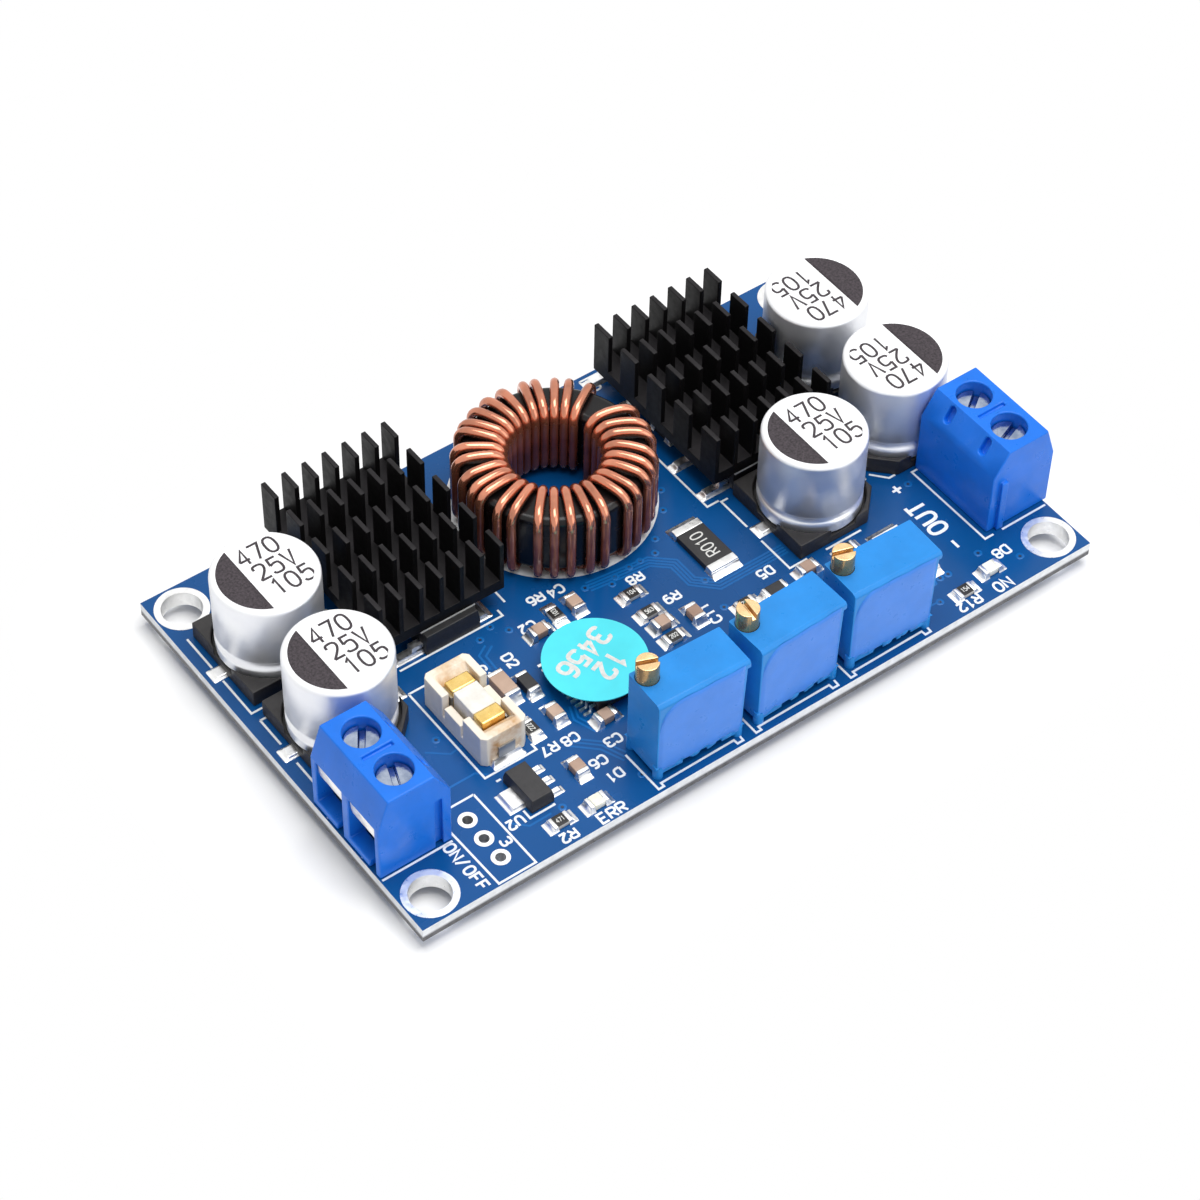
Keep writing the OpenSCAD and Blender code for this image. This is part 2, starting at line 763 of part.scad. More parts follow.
// Moves its child to trimmer 1, 2 or 3, counted from the input end, each soldered in a little askew
module at_trimmer(number) {
    on_board([trim_middle[0] + (number - 2) * trim_pitch, trim_middle[1], trim_turns[number - 1]]) children();
}

module at_trimmer_pins() {
    for (number = [1:3], i = [-1:1]) at_trimmer(number) translate([i * trim_pin_pitch, 0, 0]) children();
}

// Case on four feet, with a lip over one end, a bevel along the front and a bore for the screw
module trimmer_case(number) {
    foot_x = (trim_l - trim_foot_d) / 2 + trim_foot_out;
    foot_y = (trim_w - trim_foot_d) / 2 + trim_foot_out;
    color("dodgerblue") at_trimmer(number) difference() {
        union() {
            translate([-trim_l / 2, -trim_w / 2, trim_foot_h]) cube([trim_l, trim_w, trim_h - trim_foot_h]);
            translate([0, -trim_w / 2, trim_h - trim_lip_h])
                cube([trim_l / 2 + trim_lip, trim_w, trim_lip_h]);
            for (sx = [-1, 1], sy = [-1, 1]) translate([sx * foot_x, sy * foot_y, 0])
                cylinder(d = trim_foot_d, h = trim_foot_h + over);
        }
        translate([adjuster_x, adjuster_y, trim_h - adjuster_depth])
            cylinder(d = adjuster_d + 2 * adjuster_play, h = adjuster_depth + over);
        translate([0, -trim_w / 2, trim_h]) rotate([45, 0, 0])
            cube([2 * trim_l, trim_edge * sqrt(2), trim_edge * sqrt(2)], center = true);
        for (i = [0:2])
            translate([trim_notch_start + i * trim_notch_step, -trim_w / 2 - over, trim_foot_h - over])
                cube([trim_notch_w, trim_w / 2, over + trim_notch]);
    }
}

// Brass screw with a slot, which turns in the case
module trimmer_screw(number) {
    color("goldenrod") at_trimmer(number) translate([adjuster_x, adjuster_y, trim_h]) difference() {
        translate([0, 0, -adjuster_depth]) cylinder(d = adjuster_d, h = adjuster_depth + adjuster_rise);
        translate([0, 0, adjuster_rise]) rotate([0, 0, adjuster_turns[number - 1]])
            cube([adjuster_d + over, adjuster_slot_w, 2 * adjuster_slot_depth], center = true);
    }
}

module trimmer_pins() {
    color("silver") at_trimmer_pins() {
        board_pin(trim_pin_d);
        cylinder(d = trim_pin_d, h = trim_foot_h);
    }
}

// Plan of the fuse holder, with its corners cut off
module holder_outline() {
    x = holder_w / 2;
    y = holder_l / 2;
    c = holder_chamfer;
    polygon([
        [-x, c - y], [c - x, -y], [x - c, -y], [x, c - y],
        [x, y - c], [x - c, y], [c - x, y], [-x, y - c]
    ]);
}

// One spring clip: a trough for the end of the fuse, and a tongue bent down to the board
module fuse_clip() {
    inside = fuse_side / 2;
    start = fuse_l / 2 - clip_l;
    translate([-inside - clip_t, start, holder_floor]) cube([2 * inside + 2 * clip_t, clip_l, clip_t]);
    for (side = [-1, 1]) translate([side * (inside + clip_t / 2) - clip_t / 2, start, holder_floor])
        cube([clip_t, clip_l, clip_side_h]);
    translate([-tongue_w / 2, start, holder_floor]) cube([tongue_w, holder_l / 2 - start + clip_t, clip_t]);
    translate([-tongue_w / 2, holder_l / 2, 0]) cube([tongue_w, clip_t, tongue_h]);
}

module fuse_clip_pair() {
    on_board(holder_place) for (turn = [0, 180]) rotate([0, 0, turn]) fuse_clip();
}

// Open box with dipped side walls, slots beside the clips and ends that slope down to the fuse
module fuse_holder() {
    color("ivory") difference() {
        on_board(holder_place) difference() {
            linear_extrude(holder_h) holder_outline();
            translate([-pocket_w / 2, -pocket_l / 2, holder_floor]) cube([pocket_w, pocket_l, holder_h]);
            translate([-holder_w, -wall_dip_l / 2, holder_h - wall_dip])
                cube([2 * holder_w, wall_dip_l, wall_dip + over]);
            for (end = [-1, 1]) {
                translate([-holder_w, end * wall_dip_l / 2 - clip_slot_w / 2, holder_floor + clip_t])
                    cube([2 * holder_w, clip_slot_w, holder_h]);
                translate([0, end * pocket_l / 2, holder_h]) rotate([45, 0, 0])
                    cube([pocket_w, holder_funnel * sqrt(2), holder_funnel * sqrt(2)], center = true);
            }
        }
        fuse_clip_pair();
    }
}

module fuse_clips() {
    color("gray") fuse_clip_pair();
}

module fuse_tube() {
    tube_l = fuse_l - 2 * fuse_cap_l;
    color("white") translate([holder_place[0], holder_place[1], fuse_z + fuse_side / 2])
        cube([fuse_side, tube_l, fuse_side], center = true);
}

module fuse_caps() {
    cap_y = (fuse_l - fuse_cap_l) / 2;
    color("gold") translate([holder_place[0], holder_place[1], fuse_z + fuse_side / 2])
        for (end = [-1, 1]) translate([0, end * cap_y, 0])
            cube([fuse_side, fuse_cap_l, fuse_side], center = true);
}

// Body of a chip part between its two metal ends
module chip_body(place, size, end) {
    on_board(place) translate([0, 0, size[2] / 2]) cube([size[0] - 2 * end, size[1], size[2]], center = true);
}

module chip_end_pair(place, size, end) {
    on_board(place) for (side = [-1, 1])
        translate([side * (size[0] - end) / 2, 0, size[2] / 2]) cube([end, size[1], size[2]], center = true);
}

module shunt(place) {
    color("dimgray") chip_body(place, chip_shunt, shunt_end);
}

module indicator_lamps() {
    color("white") for (place = lamp_places) chip_body(place, chip_lamp, chip_end);
}

module diodes() {
    color("black") for (place = diode_places) chip_body(place, chip_diode, diode_end);
}

module chip_resistors() {
    color("black") for (place = resistor_places) chip_body(place, chip_resistor, chip_end);
}

module chip_capacitors() {
    color("tan") {
        for (place = capacitor_places) chip_body(place, chip_capacitor, chip_end);
        for (place = bulk_places) chip_body(place, chip_bulk, chip_end);
    }
}

module chip_ends() {
    color("silver") {
        for (place = resistor_places) chip_end_pair(place, chip_resistor, chip_end);
        for (place = capacitor_places) chip_end_pair(place, chip_capacitor, chip_end);
        for (place = bulk_places) chip_end_pair(place, chip_bulk, chip_end);
        for (place = lamp_places) chip_end_pair(place, chip_lamp, chip_end);
        for (place = diode_places) chip_end_pair(place, chip_diode, diode_end);
        for (place = [middle_shunt_place, output_shunt_place]) chip_end_pair(place, chip_shunt, shunt_end);
    }
}

module regulator() {
    color("dimgray") on_board(regulator_place) package_body(regulator_size);
}

// Three leads on one side of the regulator and a wide tab on the other
module regulator_leads() {
    half = regulator_size[0] / 2;
    color("silver") on_board(regulator_place) {
        for (i = [-1:1]) translate([half, i * regulator_lead_pitch - regulator_lead[1] / 2, 0])
            cube(regulator_lead);
        translate([-half - regulator_tab[0], -regulator_tab[1] / 2, 0]) cube(regulator_tab);
    }
}

module control_chip() {
    color("black") on_board(chip_place)
        translate([0, 0, chip_standoff]) package_body(chip_size);
}

module control_chip_leads() {
    color("silver") on_board(chip_place)
        for (side = [0, 180], i = [0:leads_per_side - 1]) rotate([0, 0, side])
            translate([-chip_size[0] / 2, (i - (leads_per_side - 1) / 2) * chip_lead_pitch, 0])
                bent_lead(chip_lead_reach, chip_size[2] / 2, chip_lead_t, chip_lead_w);
}

module round_sticker() {
    color("turquoise") on_board(chip_place)
        translate([0, 0, chip_standoff + chip_size[2]]) cylinder(d = sticker_d, h = sticker_t);
}

circuit_board();
mounting_hole_plating();
header_plating();
capacitor_can(cap_front_input);  // input_capacitor_front
capacitor_can(cap_rear_input);  // input_capacitor_rear
capacitor_can(cap_front_output);  // output_capacitor_front
capacitor_can(cap_rear_output);  // output_capacitor_rear
capacitor_can(cap_middle);  // output_capacitor_middle
capacitor_base(cap_front_input);  // input_base_front
capacitor_base(cap_rear_input);  // input_base_rear
capacitor_base(cap_front_output);  // output_base_front
capacitor_base(cap_rear_output);  // output_base_rear
capacitor_base(cap_middle);  // output_base_middle
capacitor_leads();
heatsink(sink_input);  // input_heatsink
heatsink(sink_output);  // output_heatsink
thermal_pad(transistor_input_x, sink_input[1]);  // input_thermal_pad
thermal_pad(transistor_output_x, sink_output[1]);  // output_thermal_pad
transistor(transistor_input_x, -1);  // input_transistor_front
transistor(transistor_input_x, 1);  // input_transistor_rear
transistor(transistor_output_x, -1);  // output_transistor_front
transistor(transistor_output_x, 1);  // output_transistor_rear
transistor_leads();
inductor_core();
inductor_winding();
at_input_terminal() terminal_housing();  // input_terminal_housing
at_output_terminal() terminal_housing();  // output_terminal_housing
at_input_terminal() terminal_screw(-1, input_turns);  // input_screw_front
at_input_terminal() terminal_screw(1, input_turns);  // input_screw_rear
at_output_terminal() terminal_screw(1, output_turns);  // output_screw_front
at_output_terminal() terminal_screw(-1, output_turns);  // output_screw_rear
at_input_terminal() wire_clamp(-1);  // input_clamp_front
at_input_terminal() wire_clamp(1);  // input_clamp_rear
at_output_terminal() wire_clamp(1);  // output_clamp_front
at_output_terminal() wire_clamp(-1);  // output_clamp_rear
input_contacts();
output_contacts();
trimmer_case(1);  // trimmer_case_1
trimmer_case(2);  // trimmer_case_2
trimmer_case(3);  // trimmer_case_3
trimmer_screw(1);  // trimmer_screw_1
trimmer_screw(2);  // trimmer_screw_2
trimmer_screw(3);  // trimmer_screw_3
trimmer_pins();
fuse_holder();
fuse_clips();
fuse_tube();
fuse_caps();
shunt(middle_shunt_place);  // middle_shunt
shunt(output_shunt_place);  // output_shunt
regulator();
regulator_leads();
control_chip();
control_chip_leads();
round_sticker();
indicator_lamps();
diodes();
chip_resistors();
chip_capacitors();
chip_ends();
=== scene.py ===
"""Dress of a buck-boost converter module: print, solder, winding, finishes and studio around its solids.

Sizes and places are in millimetres, in the part's own frame. Meshes are stored in metres.
"""
import json
import math
from contextlib import contextmanager

import bmesh
import bpy
import numpy as np
from bpy.props import FloatProperty, FloatVectorProperty, IntProperty, PointerProperty
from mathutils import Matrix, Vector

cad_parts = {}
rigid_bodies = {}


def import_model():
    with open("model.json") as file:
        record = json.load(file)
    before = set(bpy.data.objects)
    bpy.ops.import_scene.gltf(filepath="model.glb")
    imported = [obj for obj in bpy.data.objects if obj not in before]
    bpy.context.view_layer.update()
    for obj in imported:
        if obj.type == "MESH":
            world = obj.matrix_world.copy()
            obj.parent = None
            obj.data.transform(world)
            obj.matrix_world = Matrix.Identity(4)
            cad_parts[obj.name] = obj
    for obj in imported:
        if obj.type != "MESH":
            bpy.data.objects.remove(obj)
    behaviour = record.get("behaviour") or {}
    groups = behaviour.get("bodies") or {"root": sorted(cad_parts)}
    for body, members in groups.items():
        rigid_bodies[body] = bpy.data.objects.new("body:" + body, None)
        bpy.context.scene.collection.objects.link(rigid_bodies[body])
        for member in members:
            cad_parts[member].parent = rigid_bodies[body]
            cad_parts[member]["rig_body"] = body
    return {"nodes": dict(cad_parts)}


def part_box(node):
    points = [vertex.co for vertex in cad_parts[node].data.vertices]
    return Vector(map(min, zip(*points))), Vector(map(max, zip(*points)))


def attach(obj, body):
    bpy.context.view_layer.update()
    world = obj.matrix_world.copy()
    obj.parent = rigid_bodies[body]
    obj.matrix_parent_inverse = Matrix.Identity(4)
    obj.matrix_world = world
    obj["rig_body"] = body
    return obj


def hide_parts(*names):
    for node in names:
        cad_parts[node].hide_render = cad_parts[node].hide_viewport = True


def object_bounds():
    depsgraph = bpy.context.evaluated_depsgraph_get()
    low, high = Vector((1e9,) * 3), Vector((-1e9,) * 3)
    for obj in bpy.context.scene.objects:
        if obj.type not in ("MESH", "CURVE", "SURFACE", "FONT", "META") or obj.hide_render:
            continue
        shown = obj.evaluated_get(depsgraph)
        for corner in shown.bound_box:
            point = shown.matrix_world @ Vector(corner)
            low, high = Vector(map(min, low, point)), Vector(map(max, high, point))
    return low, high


bl_info = {
    "name": "Converter Module Dress",
    "version": (1, 0, 0),
    "blender": (4, 5, 0),
    "location": "View3D > Sidebar > Converter",
    "description": "Gives a power converter board its print, solder, winding, finishes and studio",
    "category": "Object",
}

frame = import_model()
CAD_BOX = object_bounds()

MM = 0.001
NODES = frame["nodes"]
ROOT = "module"


def srgb(red, green, blue):
    """Linear colour of a screen colour given from 0 to 255."""
    share = np.array([red, green, blue]) / 255
    linear = np.where(share > 0.04045, ((share + 0.055) / 1.055) ** 2.4, share / 12.92)
    return tuple(float(value) for value in linear)


def corners(node):
    """Lowest and highest corner of a solid, in millimetres."""
    low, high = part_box(node)
    return np.array(low) / MM, np.array(high) / MM


def middle_of(node):
    """Middle of a solid's box, in millimetres."""
    low, high = corners(node)
    return (low + high) / 2


def nodes_with(part):
    """Names of the solids that have a part of the name in common."""
    return [node for node in NODES if part in node]


BOARD_LOW, BOARD_HIGH = corners("circuit_board")
BOARD_TOP = float(BOARD_HIGH[2])
# Thickness of print, and how deep what is laid on reaches into what carries it
INK = 0.02
SINK = 0.005


# Settings

def colour_setting(name, description, value):
    """Colour property with a default."""
    return FloatVectorProperty(name=name, description=description, subtype="COLOR", default=value,
                               min=0, max=1)


def length_setting(name, description, value):
    """Length property in millimetres with a default."""
    return FloatProperty(name=name, description=description, default=value, min=0)


class BoardLooks(bpy.types.PropertyGroup):
    """Colours and line widths of the board"""
    mask: colour_setting("Solder mask", "Lacquer of the board", srgb(6, 80, 144))
    copper_under_mask: colour_setting("Mask over copper", "Lacquer where copper lies below",
                                      srgb(16, 102, 174))
    core: colour_setting("Board core", "Upper part of the cut edge", srgb(236, 239, 243))
    # Tone of the lower part of the cut edge: a painted shade
    painted_edge_shade: colour_setting("Painted edge shade", "Lower part of the cut edge, where the board was broken off",
                          srgb(96, 96, 100))
    print: colour_setting("Print", "White print on the board", srgb(240, 243, 245))
    line_width: length_setting("Line width", "Width of a printed line in mm", 0.22)


class PartLooks(bpy.types.PropertyGroup):
    """Colours of the moulded and metal parts"""
    terminal: colour_setting("Terminals", "Plastic of the screw terminals", srgb(22, 116, 228))
    trimmer: colour_setting("Trimmers", "Plastic of the trimmers", srgb(36, 138, 220))
    potting: colour_setting("Potting", "Resin on the front of a trimmer", srgb(66, 134, 228))
    holder: colour_setting("Fuse holder", "Ivory plastic of the fuse holder", srgb(250, 240, 222))
    sticker: colour_setting("Sticker", "Paper of the round sticker", srgb(74, 226, 238))
    ink: colour_setting("Can ink", "Ink on top of a can", srgb(52, 46, 50))
    anodised: colour_setting("Heatsink", "Black of the heatsinks", srgb(12, 11, 12))


class WindingLooks(bpy.types.PropertyGroup):
    """Wire of the ring inductor"""
    wire: length_setting("Wire", "Diameter of the wire in mm", 0.92)
    turns: IntProperty(name="Turns", description="Turns around the ring", default=30, min=6, max=60)
    bare: FloatProperty(name="Bare angle", description="Part of the ring without turns, in degrees",
                        default=24)
    copper: colour_setting("Copper", "Bright enamelled copper", srgb(226, 146, 114))
    # Painted shade: the copper below the top of the ring takes this darker tone
    painted_leg_shade: colour_setting("Shaded copper", "Darker enamel on the sides of the ring", srgb(150, 82, 62))


class StageLooks(bpy.types.PropertyGroup):
    """Studio light"""
    ambient: FloatProperty(name="Ambient", description="Light from all round", default=0.46, min=0)
    key: FloatProperty(name="Key lamp", description="Power of the key lamp", default=3.2, min=0,
                       unit="POWER")
    fill: FloatProperty(name="Fill lamp", description="Power of the fill lamp", default=1.0, min=0,
                        unit="POWER")


class ConverterLooks(bpy.types.PropertyGroup):
    """All settings of the dress"""
    board: PointerProperty(type=BoardLooks)
    parts: PointerProperty(type=PartLooks)
    winding: PointerProperty(type=WindingLooks)
    stage: PointerProperty(type=StageLooks)


# Surfaces worked out as grids

# Share of a stretch that a rounded corner takes, and the least cosine that a bend is moved out by
CORNER_CUT = 0.25
LEAST_COSINE = 0.5


def grid_shape(surface):
    """Points and quads of a surface given as rows by columns of points; up is on the left of a row's run."""
    rows, columns = surface.shape[:2]
    number = np.arange(rows * columns).reshape(rows, columns)
    quads = np.stack([number[:-1, :-1], number[1:, :-1], number[1:, 1:], number[:-1, 1:]], -1)
    return surface.reshape(-1, 3), quads.reshape(-1, 4)


def join_shapes(shapes):
    """One shape from several, by moving the numbers of each one's quads past the points before it."""
    starts = np.cumsum([0] + [len(points) for points, _ in shapes[:-1]])
    points = np.concatenate([points for points, _ in shapes])
    quads = np.concatenate([quads + start for (_, quads), start in zip(shapes, starts)])
    return points, quads


def lathe(profile, centre, sides=64):
    """Profile of radius and height pairs turned about an upright axis: x = r cos t, y = r sin t, z = h."""
    profile = np.asarray(profile, float)
    turn = np.linspace(0, 2 * np.pi, sides + 1)
    radius, height = profile[:, :1], profile[:, 1:]
    x = centre[0] + radius * np.cos(turn)
    y = centre[1] + radius * np.sin(turn)
    return grid_shape(np.stack([x, y, np.broadcast_to(height, x.shape)], -1))


def arc(centre, radius, start, end, steps=8):
    """Points of a circle's arc in a plane, from one angle in degrees to another."""
    turn = np.radians(np.linspace(start, end, steps + 1))
    return np.stack([centre[0] + radius * np.cos(turn), centre[1] + radius * np.sin(turn)], -1)


def soften(line, passes=2):
    """Polyline with rounded corners: a pass keeps the middle half of a stretch, and an open line's ends."""
    line = np.asarray(line, float)
    closed = np.array_equal(line[0], line[-1])
    for _ in range(passes):
        near = line[:-1] * (1 - CORNER_CUT) + line[1:] * CORNER_CUT
        far = line[:-1] * CORNER_CUT + line[1:] * (1 - CORNER_CUT)
        cut = np.stack([near, far], 1).reshape(-1, 2)
        line = np.concatenate([cut, cut[:1]] if closed else [line[:1], cut[1:-1], line[-1:]])
    return line


def offset_line(line, distance):
    """Polyline moved sideways along the mean of its neighbours' normals, and up to twice as far at bends."""
    line = np.asarray(line, float)
    run = np.diff(line, axis=0)
    normal = np.stack([-run[:, 1], run[:, 0]], -1) / np.linalg.norm(run, axis=1, keepdims=True)
    closed = np.array_equal(line[0], line[-1])
    before = np.concatenate([normal[-1:] if closed else normal[:1], normal])
    after = np.concatenate([normal, normal[:1] if closed else normal[-1:]])
    mean = before + after
    mean /= np.linalg.norm(mean, axis=1, keepdims=True)
    return line + mean * (distance / np.maximum((mean * after).sum(1), LEAST_COSINE))[:, None]


def ribbon(line, width, low, high):
    """Flat bar along a polyline: a box section between the line moved to both sides, with its ends closed."""
    left, right = offset_line(line, width / 2), offset_line(line, -width / 2)
    edges = ((right, low), (right, high), (left, high), (left, low), (right, low))
    section = np.stack([np.column_stack([edge, np.full(len(edge), level)]) for edge, level in edges], 1)
    if np.array_equal(left[0], left[-1]):
        return grid_shape(section)
    middle = section[[0, -1], :4].mean(1, keepdims=True).repeat(5, axis=1)
    return grid_shape(np.concatenate([middle[:1], section, middle[1:]]))


def tube(path, round_axis, radius, sides=14):
    """Round wire along a path: a ring stands across it, one arm along its bend and one along round_axis."""
    ahead = np.gradient(path, axis=0)
    ahead /= np.linalg.norm(ahead, axis=1, keepdims=True)
    arm = np.cross(ahead, round_axis)
    arm /= np.linalg.norm(arm, axis=1, keepdims=True)
    other = np.cross(ahead, arm)
    turn = np.linspace(0, 2 * np.pi, sides + 1)[None, :, None]
    ring = path[:, None] + radius * (np.cos(turn) * arm[:, None] + np.sin(turn) * other[:, None])
    first = np.repeat(path[:1, None], sides + 1, axis=1)
    last = np.repeat(path[-1:, None], sides + 1, axis=1)
    return grid_shape(np.concatenate([first, ring, last]))


def turned(plan, degrees):
    """Plan points turned about the origin: x cos t - y sin t and x sin t + y cos t."""
    cos, sin = math.cos(math.radians(degrees)), math.sin(math.radians(degrees))
    return plan @ np.array([[cos, sin], [-sin, cos]])


# Objects

# Metres within which points of a drawn shape and of a solid count as one, and below which an edge is none
SAME_POINT = 1e-7
SAME_CORNER = 1e-6
NO_LENGTH = 1e-8
# Degrees up to which faces count as one flat face, and from which rounded edges shade as sharp
FLAT_ANGLE = 1
SHARP_ANGLE = 60
# Distance from the middle of a bore within which edges are not rounded
BORE_CLEAR = 1.4


@contextmanager
def opened(mesh):
    """Mesh opened for edits, which go back into it at the end."""
    work = bmesh.new()
    work.from_mesh(mesh)
    yield work
    work.to_mesh(mesh)
    work.free()


def keep(obj, material, body=ROOT, stands_for=()):
    """Links a finished object, with its material, body and the solids it stands for."""
    bpy.context.scene.collection.objects.link(obj)
    obj.data.materials.clear()
    obj.data.materials.append(material)
    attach(obj, body)
    if stands_for:
        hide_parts(*stands_for)
    return obj


def tidy_mesh(mesh, closed):
    """Merges points that lie on each other, and turns the faces of closed shapes outward."""
    with opened(mesh) as work:
        bmesh.ops.remove_doubles(work, verts=work.verts, dist=SAME_POINT)
        bmesh.ops.dissolve_degenerate(work, edges=work.edges, dist=NO_LENGTH)
        if closed:
            bmesh.ops.recalc_face_normals(work, faces=work.faces)


def add_piece(name, shape, material, body=ROOT, stands_for=(), closed=True, sharp=40):
    """New object from a shape in millimetres, smooth except at edges sharper than an angle."""
    points, quads = shape
    mesh = bpy.data.meshes.new(name)
    mesh.from_pydata((points * MM).tolist(), [], quads.tolist())
    tidy_mesh(mesh, closed)
    mesh.shade_smooth()
    mesh.set_sharp_from_angle(angle=math.radians(sharp))
    return keep(bpy.data.objects.new(name, mesh), material, body, stands_for)


def thicken(sheet, thickness, offset):
    """Gives a sheet its thickness, to both sides or to one by the offset."""
    solid = sheet.modifiers.new("Thickness", "SOLIDIFY")
    solid.thickness = thickness * MM
    solid.offset = offset


def merged_mesh(node):
    """Copy of a solid's mesh with triangles merged into flat faces, and no shading normals of its own."""
    mesh = NODES[node].data.copy()
    if "custom_normal" in mesh.attributes:
        mesh.attributes.remove(mesh.attributes["custom_normal"])
    with opened(mesh) as work:
        bmesh.ops.remove_doubles(work, verts=work.verts, dist=SAME_CORNER)
        bmesh.ops.dissolve_limit(work, angle_limit=math.radians(FLAT_ANGLE), verts=work.verts,
                                 edges=work.edges)
    return mesh


def values_of(items, name, width=1, kind=float):
    """One property of all points, edges, corners or faces of a mesh, as an array."""
    values = np.zeros(len(items) * width, kind)
    items.foreach_get(name, values)
    return values.reshape(-1, width) if width > 1 else values


def sharp_edges(mesh, angle, shortest, lowest, bore):
    """Numbers of the edges that are sharper than an angle, long enough, above a level and clear of a bore."""
    sides = values_of(mesh.polygons, "loop_total", kind=np.int32)
    face_of_corner = np.repeat(np.arange(len(sides)), sides)
    order = np.argsort(values_of(mesh.loops, "edge_index", kind=np.int32), kind="stable")
    pairs = values_of(mesh.polygons, "normal", 3)[face_of_corner[order]].reshape(-1, 2, 3)
    sharp = (pairs[:, 0] * pairs[:, 1]).sum(1) < math.cos(math.radians(angle))
    ends = values_of(mesh.vertices, "co", 3)[values_of(mesh.edges, "vertices", 2, np.int32)] / MM
    line = ends[:, 1] - ends[:, 0]
    length = np.linalg.norm(line, axis=1)
    chosen = sharp & (length > shortest) & (ends[:, :, 2].min(1) > lowest)
    if bore is not None:
        share = np.clip(((bore - ends[:, 0]) * line).sum(1) / length ** 2, 0, 1)
        chosen &= np.linalg.norm(ends[:, 0] + share[:, None] * line - bore, axis=1) > BORE_CLEAR
    return np.flatnonzero(chosen)


def round_copy(node, radius, material, segments=2, angle=40, shortest=0.0, lowest=-math.inf, bore=None):
    """Copy of a solid with its sharp edges rounded. It stands for the solid and rides on the same body."""
    mesh = merged_mesh(node)
    mesh.name = node + "_finish"
    numbers = sharp_edges(mesh, angle, shortest, lowest, bore)
    with opened(mesh) as work:
        work.edges.ensure_lookup_table()
        bmesh.ops.bevel(work, geom=[work.edges[number] for number in numbers], offset=radius * MM,
                        segments=segments, profile=0.5, affect="EDGES", loop_slide=True, clamp_overlap=False)
    mesh.shade_smooth()
    mesh.set_sharp_from_angle(angle=math.radians(SHARP_ANGLE))
    obj = bpy.data.objects.new(node + "_finish", mesh)
    obj.modifiers.new("Even shading", "WEIGHTED_NORMAL").keep_sharp = True
    return keep(obj, material, NODES[node]["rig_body"], (node,))


def paint(node, material):
    """Gives a solid that stays in view its material."""
    NODES[node].data.materials.clear()
    NODES[node].data.materials.append(material)


def solids_in(node):
    """Boxes of a node's separate solids: joined points take the lowest number among them, until settled."""
    mesh = merged_mesh(node)
    points = values_of(mesh.vertices, "co", 3) / MM
    edges = values_of(mesh.edges, "vertices", 2, np.int32)
    bpy.data.meshes.remove(mesh)
    label, settled = np.arange(len(points)), False
    while not settled:
        lowest = label[edges].min(1)
        after = label.copy()
        np.minimum.at(after, edges[:, 0], lowest)
        np.minimum.at(after, edges[:, 1], lowest)
        settled = bool((after == label).all())
        label = after
    return [(points[label == one].min(0), points[label == one].max(0)) for one in np.unique(label)]


# Letters

# Size of a letter's grid, step from one letter to the next, and rise of each further stroke over the last
LETTER_W, LETTER_H, LETTER_STEP = 4.0, 6.0, 5.6
STROKE_STEP = 0.003


def oval(low, high, start=0.0, end=LETTER_W):
    """Closed box that softens to an oval."""
    return [(start, low), (end, low), (end, high), (start, high), (start, low)]


# Strokes of the letters on that grid: those that are drawn round, and those that stay straight
ROUND = {
    "0": [oval(0, 6)],
    "2": [[(0.1, 4.4), (0.1, 6), (3.9, 6), (3.9, 3.4), (0, 0)]],
    "3": [[(0, 5), (0.2, 6), (3.8, 6), (3.8, 3.1), (1.4, 3.1)],
          [(1.4, 3.1), (4, 3.1), (4, 0), (0.2, 0), (0, 1)]],
    "5": [[(0.3, 3.3), (2, 4), (4, 3.7), (4, 0), (0.4, 0), (0, 0.9)]],
    "6": [oval(0, 3.6), [(3.5, 5.7), (1.2, 6), (0, 4.2), (0, 1.8)]],
    "8": [oval(0, 3.2), oval(3.2, 6, 0.3, 3.7)],
    "9": [oval(2.4, 6), [(4, 4.2), (4, 1.8), (2.8, 0), (0.5, 0.3)]],
    "C": [[(4, 4.6), (3.8, 6), (0, 6), (0, 0), (3.8, 0), (4, 1.4)]],
    "D": [[(0, 6), (4.2, 6), (4.2, 0), (0, 0)]],
    "O": [oval(0, 6)],
    "Q": [oval(0, 6)],
    "R": [[(0, 6), (4.2, 6), (4.2, 2.9), (0, 2.9)]],
    "U": [[(0, 6), (0, 0), (4, 0), (4, 6)]],
}
STRAIGHT = {
    "1": [[(0.9, 4.8), (2.2, 6), (2.2, 0)]],
    "2": [[(0, 0), (4, 0)]],
    "4": [[(3, 0), (3, 6), (0, 1.8)], [(0, 1.8), (4, 1.8)]],
    "5": [[(3.7, 6), (0.6, 6), (0.3, 3.3)]],
    "7": [[(0, 6), (4, 6), (1.4, 0)]],
    "D": [[(0, 0), (0, 6)]],
    "E": [[(3.8, 0), (0, 0), (0, 6), (3.8, 6)], [(0, 3), (3.2, 3)]],
    "F": [[(0, 0), (0, 6), (3.8, 6)], [(0, 3), (3.2, 3)]],
    "N": [[(0, 0), (0, 6), (4, 0), (4, 6)]],
    "Q": [[(2.4, 1.6), (4.2, -0.4)]],
    "R": [[(0, 0), (0, 6)], [(1.8, 2.9), (4, 0)]],
    "T": [[(0, 6), (4, 6)], [(2, 6), (2, 0)]],
    "V": [[(0, 6), (2, 0), (4, 6)]],
    "/": [[(0, -0.4), (3.4, 6.4)]],
}


def letter_strokes(letter):
    """Polylines of one letter, the round ones first."""
    drawn_round = [soften(line) for line in ROUND.get(letter, [])]
    return drawn_round + [np.array(line, float) for line in STRAIGHT.get(letter, [])]


